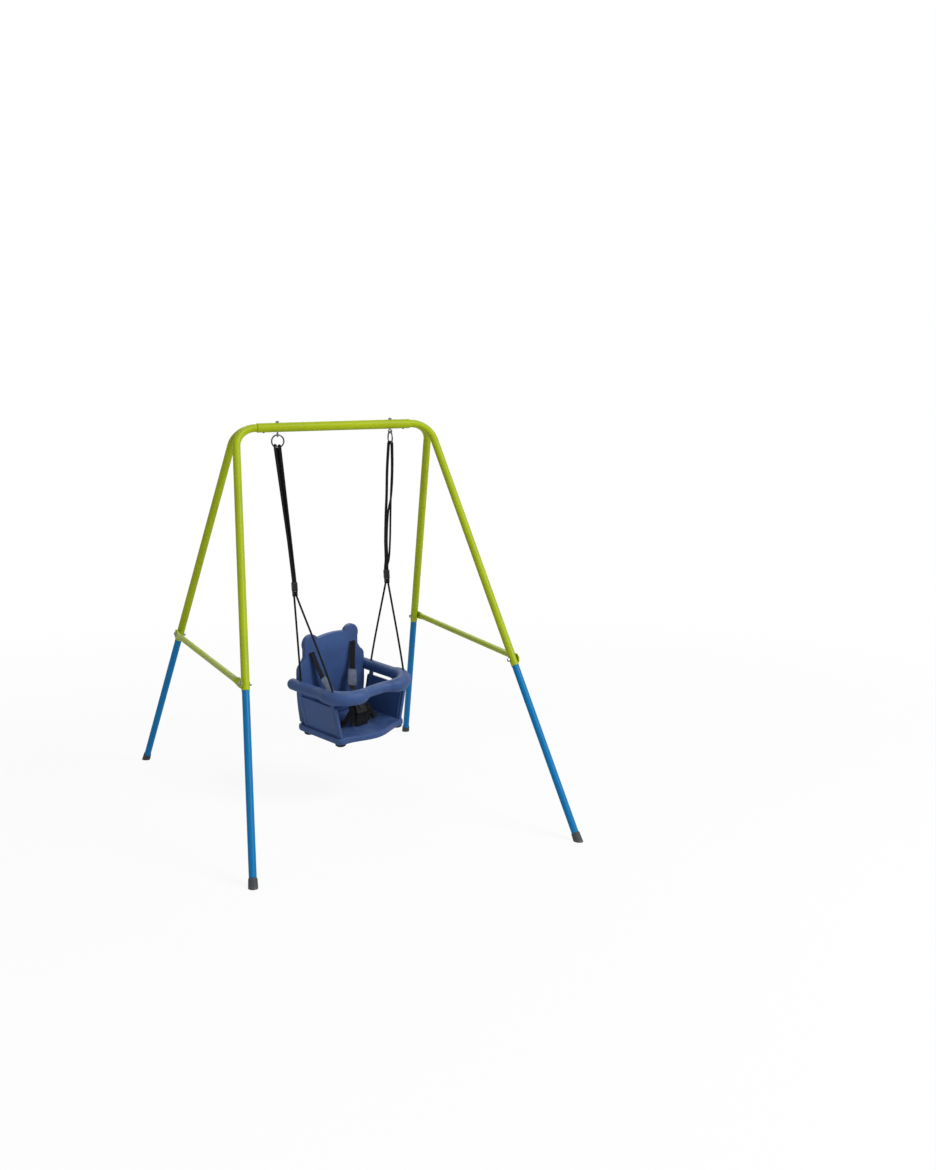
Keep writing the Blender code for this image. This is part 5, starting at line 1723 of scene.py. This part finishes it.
@dataclass
class Harness:
    """The woven straps, the puffed shoulder pads and the buckle."""

    materials: dict[str, Material]
    seat: Matrix
    strap_size: Pair = (0.020, 0.0020)
    crotch_size: Pair = (0.048, 0.0030)
    pad_size: tuple[float, float, float] = (0.036, 0.060, 0.014)
    # The black crotch pad is made wide enough to also fill the deep shade under the guard: partly pad, partly
    # painted shade.
    crotch_pad_size: tuple[float, float, float] = (0.094, 0.088, 0.010)
    crotch_pad_taper: float = 0.14
    crotch_pad_line: tuple[Point, ...] = ((0.0, -0.0130, -0.0790), (0.0, -0.0330, -0.1235),
                                          (0.0, -0.0375, -0.1585))
    buckle_size: tuple[float, float, float] = (0.046, 0.015, 0.044)
    buckle_spot: Point = (0.0, -0.034, -0.098)
    buckle_tip: float = 24.0
    lug_steps: tuple[float, float, float] = (0.010, 0.005, 0.0)
    lug_half: Pair = (0.0233, 0.0223)
    shoulder_lug: float = 0.011
    lap_lug: float = -0.0055
    shoulder_slot: Point = (SHOULDER_SLOT[0], BACK_FACE, SHOULDER_SLOT[1])
    lap_slot: Point = (LAP_SLOT[0], BACK_FACE, LAP_SLOT[1])
    slot_ends: Pair = (0.018, -0.003)
    behind_back: Point = (0.0, 0.0305, -0.006)
    slot_bend: float = 0.15
    foot_ends: Pair = (0.012, -0.003)
    pad_line: tuple[Point, Point] = ((0.066, 0.075, -0.006), (0.044, 0.053, -0.061))
    lap_line: tuple[Point, ...] = ((0.094, 0.080, -0.1535), (0.096, 0.040, -0.1570), (0.090, 0.002, -0.1565),
                                   (0.068, -0.026, -0.1440))
    crotch_foot: Point = (0.0, -0.044, -0.160)
    shoulder_sewn: tuple[Pair, ...] = ((0.13, 0.40), (0.84, 0.99))
    lap_sewn: tuple[Pair, ...] = ((0.14, 0.98),)
    crotch_sewn: tuple[Pair, ...] = ((0.04, 0.94),)
    strap_edge: float = 0.0006
    strap_step: float = 0.0025
    strap_sharp: float = 60.0
    row_inset: float = 0.0024
    # The way the shoulder straps' broad side looks, in the seat's frame.
    facing: Point = (0.0, -0.6, 0.8)
    stitch: float = 0.0034
    thread: float = 0.0008
    button_radius: float = 0.0102
    bezel_wire: float = 0.0008

    @staticmethod
    def beside(side: Side, spot: Point) -> Vector:
        """A place on one side, from its twin on the right."""
        return Vector((side.value * spot[0], spot[1], spot[2]))

    def buckle(self) -> Matrix:
        """The buckle's frame within the seat's."""
        return Matrix.Translation(self.buckle_spot) @ Matrix.Rotation(-math.radians(self.buckle_tip), 4, "X")

    def pad_ends(self, side: Side) -> list[Vector]:
        """The middle of a pad's upper and lower end."""
        return [self.beside(side, spot) for spot in self.pad_line]

    def shoulder_route(self, side: Side) -> list[Vector]:
        """Route a shoulder strap from behind the back, through its slot and the pad, down to the buckle.

        Args:
            side: The strap's side.

        Returns:
            The points that it passes through.
        """
        lugs = [self.buckle() @ Vector((side.value * self.shoulder_lug, 0.0, self.lug_half[1] + rise))
                for rise in self.lug_steps]
        high, low = self.pad_ends(side)
        slot = self.beside(side, self.shoulder_slot)
        before, after = (slot + Vector((0.0, depth, 0.0)) for depth in self.slot_ends)
        behind = slot + Vector(self.behind_back)
        bend = slot.lerp(high, self.slot_bend) + Vector((0.0, self.slot_ends[1], 0.0))
        return [behind, before, after, bend, high, low, *lugs]

    def lap_route(self, side: Side) -> list[Vector]:
        """Route a lap strap from the slot low in the back, along the base and up to the buckle's side.

        Args:
            side: The strap's side.

        Returns:
            The points that it passes through.
        """
        lugs = [self.buckle() @ Vector((side.value * (self.lug_half[0] + rise), 0.0, self.lap_lug))
                for rise in self.lug_steps]
        slot = self.beside(side, self.lap_slot)
        ends = [slot + Vector((0.0, depth, 0.0)) for depth in self.slot_ends]
        return [*ends, *[self.beside(side, spot) for spot in self.lap_line], *lugs]

    def crotch_route(self) -> list[Vector]:
        """Route the crotch strap from the buckle's foot down into the base.

        Returns:
            The points that it passes through.
        """
        neck = [self.buckle() @ Vector((0.0, 0.0, -self.lug_half[1] - drop))
                for drop in reversed(self.lug_steps)]
        return [*neck, *[Vector(self.crotch_foot) + Vector((0.0, 0.0, rise)) for rise in self.foot_ends]]

    def web(self, name: str, path: Path, size: Pair, sewn: tuple[Pair, ...]) -> None:
        """Make one strap and let it stand for its solid.

        Args:
            name: The solid's name.
            path: The strap's line, in the seat's frame.
            size: Its width and thickness.
            sewn: The stretches with rows of stitches, as shares of its length.
        """
        bm = Workshop.tape(*size, path.length, self.strap_step, self.strap_edge)
        row = size[0] / 2 - self.row_inset
        for start, stop in sewn:
            Workshop.stitches(bm, (-row, row), start * path.length, stop * path.length, size[1] / 2,
                              self.stitch, self.thread)
        path.bend(bm)
        bm.transform(self.seat)
        finishes = [self.materials["webbing"], self.materials["thread"]]
        Workshop.piece(name + "_webbing", bm, finishes, Body.SEAT, "black_webbing", (name,), self.strap_sharp)

    def straps(self) -> None:
        """The shoulder, lap and crotch straps."""
        front = self.buckle().to_3x3() @ Vector((0.0, -1.0, 0.0))
        for side in Side:
            shoulder = Path(self.shoulder_route(side), Vector(self.facing))
            self.web(f"shoulder_strap_{side.label}", shoulder, self.strap_size, self.shoulder_sewn)
            lap = Path(self.lap_route(side), Vector((0.0, 0.0, 1.0)), front)
            self.web(f"lap_strap_{side.label}", lap, self.strap_size, self.lap_sewn)
        crotch = Path(self.crotch_route(), Vector((0.0, -1.0, 0.0)))
        self.web("crotch_strap", crotch, self.crotch_size, self.crotch_sewn)

    def pads(self) -> None:
        """A pad on each shoulder strap, and a wide black one behind the buckle and the crotch strap, partly a
        pad and partly a dark sheet for the painted shade under the guard.
        """
        grey = [self.materials[finish] for finish in ("padding", "piping", "thread")]
        for side in Side:
            name = "shoulder_pad_" + side.label
            path = Path(self.pad_ends(side), Vector(self.facing))
            SewnPad(name + "_cover", grey, self.pad_size, self.seat, path, "grey_pad", (name,)).build()
        # The wide black pad darkens the space under the guard as painted shade, besides being a pad.
        black = [self.materials[finish] for finish in ("lining", "edging", "thread")]
        path = Path([Vector(point) for point in self.crotch_pad_line], Vector((0.0, -1.0, 0.0)))
        SewnPad("crotch_pad_cover", black, self.crotch_pad_size, self.seat, path, "black_webbing",
                taper=self.crotch_pad_taper).build()

    def build(self) -> None:
        """Make the straps and pads and dress the buckle."""
        self.straps()
        self.pads()
        Workshop.dress(self.materials["fitting"], "buckle")
        Workshop.dress(self.materials["button"], "buckle_button")
        front = self.buckle() @ Matrix.Translation((0, -self.buckle_size[1] / 2, 0))
        face = front @ Matrix.Rotation(math.pi / 2, 4, "X")
        bezel = Workshop.hoop(self.button_radius, self.bezel_wire, self.seat @ face)
        Workshop.piece("buckle_bezel", bezel, [self.materials["fitting"]], Body.SEAT, "black_plastic")


@dataclass
class SewnPad:
    """A sewn pad with piped edges, puffed by a cloth simulation and laid along a path."""

    name: str
    materials: list[Material]
    size: tuple[float, float, float]
    place: Matrix
    path: Path
    slot: str
    replaces: tuple[str, ...] = ()
    taper: float = 0.0
    enlarged: float = 10.0
    voxel: float = 0.0016
    pressure: float = 0.8
    swell: float = 0.0020
    last_frame: int = 20
    shrink: tuple[float, float, float] = (0.90, 0.94, 0.62)
    cuts: int = 5
    rim_height: float = 0.45
    waist: Pair = (0.10, 0.06)
    piping: float = 0.0011
    piping_step: float = 0.0015
    rim_points: int = 72
    row: float = 0.30
    sewn: float = 0.84
    stitch: float = 0.0030
    stitch_share: float = 0.7
    thread: float = 0.0007

    def cover(self) -> Object:
        """Cut the closed cover before it is filled, enlarged for the simulation.

        Returns:
            The cover.
        """
        bm = bmesh.new()
        bmesh.ops.create_cube(bm, size=1.0)
        bmesh.ops.subdivide_edges(bm, edges=bm.edges[:], cuts=self.cuts, use_grid_fill=True)
        for vert in bm.verts:
            x, y = vert.co.x * 2, vert.co.y * 2
            vert.co.z *= self.rim_height + (1 - self.rim_height) * (1 - x ** 4) * (1 - y ** 6)
            vert.co.x *= (1 - self.waist[0] * abs(y) ** 5) * (1 + self.taper * y)
            vert.co.y *= 1 - self.waist[1] * abs(x) ** 4
        reach = [length * part * self.enlarged for length, part in zip(self.size, self.shrink)]
        bmesh.ops.scale(bm, vec=reach, verts=bm.verts[:])
        cover = linked("pad_cover", meshed("pad_cover", bm))
        skin = cover.modifiers.new("skin", "REMESH")
        skin.mode = "VOXEL"
        skin.voxel_size = self.voxel * self.enlarged
        self.settle(cover)
        return cover

    @staticmethod
    def settle(piece: Object) -> None:
        """Apply every modifier of a piece to its mesh.

        Args:
            piece: The piece.
        """
        evaluated = piece.evaluated_get(bpy.context.evaluated_depsgraph_get())
        mesh = bpy.data.meshes.new_from_object(evaluated)
        piece.modifiers.clear()
        piece.data = mesh

    def fill(self, cover: Object) -> None:
        """Blow the cover up as cloth, and keep each point within the swell.

        Args:
            cover: The enlarged cover.
        """
        scene = bpy.context.scene
        before = [vert.co.copy() for vert in cover.data.vertices]
        cloth = cover.modifiers.new("fill", "CLOTH")
        cloth.settings.use_pressure = True
        cloth.settings.uniform_pressure_force = self.pressure
        cloth.settings.effector_weights.gravity = 0.0
        cloth.point_cache.frame_start = 1
        cloth.point_cache.frame_end = self.last_frame
        for step in range(1, self.last_frame + 1):
            scene.frame_set(step)
        self.settle(cover)
        scene.frame_set(1)
        most = self.swell * self.enlarged
        moved = 0.0
        for vert, start in zip(cover.data.vertices, before):
            move = vert.co - start
            moved = max(moved, move.length / self.enlarged)
            if move.length > most:
                vert.co = start + move.normalized() * most
        log.info("%s swelled by up to %.1f mm", self.name, moved * 1000)

    def stitches(self, bm: BMesh, skin: BVHTree) -> None:
        """Add two rows of stitches down each face, lying on the cover.

        Args:
            bm: The cover's mesh, flat.
            skin: Its surface, to find where each stitch lies.
        """
        long = self.size[1]
        count = int(long * self.sewn / self.stitch)
        for row in (-self.row, self.row):
            for i in range(count):
                y = (i + 0.5 - count / 2) * self.stitch
                x = row * self.size[0] * (1 + self.taper * 2 * y / long)
                for up in (-1, 1):
                    hit = skin.ray_cast(Vector((x, y, up * self.size[2])), Vector((0.0, 0.0, -up)))[0]
                    if hit is not None:
                        Workshop.stitch(bm, hit, self.stitch * self.stitch_share, self.thread, 2)

    def edging(self, bm: BMesh, skin: BVHTree) -> None:
        """Add piping all round the edge.

        Args:
            bm: The cover's mesh, flat.
            skin: Its surface, to find its edge.
        """
        rim = []
        for c, s in arc(1.0, 0, 360, self.rim_points):
            way = Vector((c, s, 0.0))
            hit = skin.ray_cast(way * self.size[1], -way)[0]
            if hit is not None:
                rim.append(hit)
        path = Path(rim, Vector((0.0, 0.0, 1.0)))
        section = Workshop.round_section(self.piping)
        Workshop.merge(bm, Workshop.sleeve(path, 8, self.piping_step, section), 1)

    def build(self) -> Object:
        """Make the pad.

        Returns:
            The finished piece.
        """
        cover = self.cover()
        self.fill(cover)
        bm = bmesh.new()
        bm.from_mesh(cover.data)
        bpy.data.objects.remove(cover)
        bmesh.ops.scale(bm, vec=(1 / self.enlarged,) * 3, verts=bm.verts[:])
        bmesh.ops.smooth_vert(bm, verts=bm.verts[:], factor=0.5, use_axis_x=True, use_axis_y=True,
                              use_axis_z=True)
        layer = bm.loops.layers.uv.new("UVMap")
        for face in bm.faces:
            for loop in face.loops:
                x, y, z = loop.vert.co
                loop[layer].uv = (x + z * 0.5, y + z * 0.5)
        skin = BVHTree.FromBMesh(bm)
        self.edging(bm, skin)
        self.stitches(bm, skin)
        bmesh.ops.translate(bm, vec=(0.0, self.path.length / 2, 0.0), verts=bm.verts[:])
        self.path.bend(bm)
        bm.transform(self.place)
        pad = Workshop.piece(self.name, bm, self.materials, Body.SEAT, self.slot, self.replaces, ALL_SMOOTH)
        return pad


def main() -> None:
    """Build the studio and every sub-assembly, in order."""
    logging.basicConfig(level=logging.INFO, format="%(message)s")
    Studio().build()
    materials = Palette().make()
    seat = SeatPose().matrix()
    TubeFrame(materials).build()
    Rigging(materials, seat).build()
    SeatShell(materials, seat).build()
    Harness(materials, seat).build()


if __name__ == "__main__":
    main()
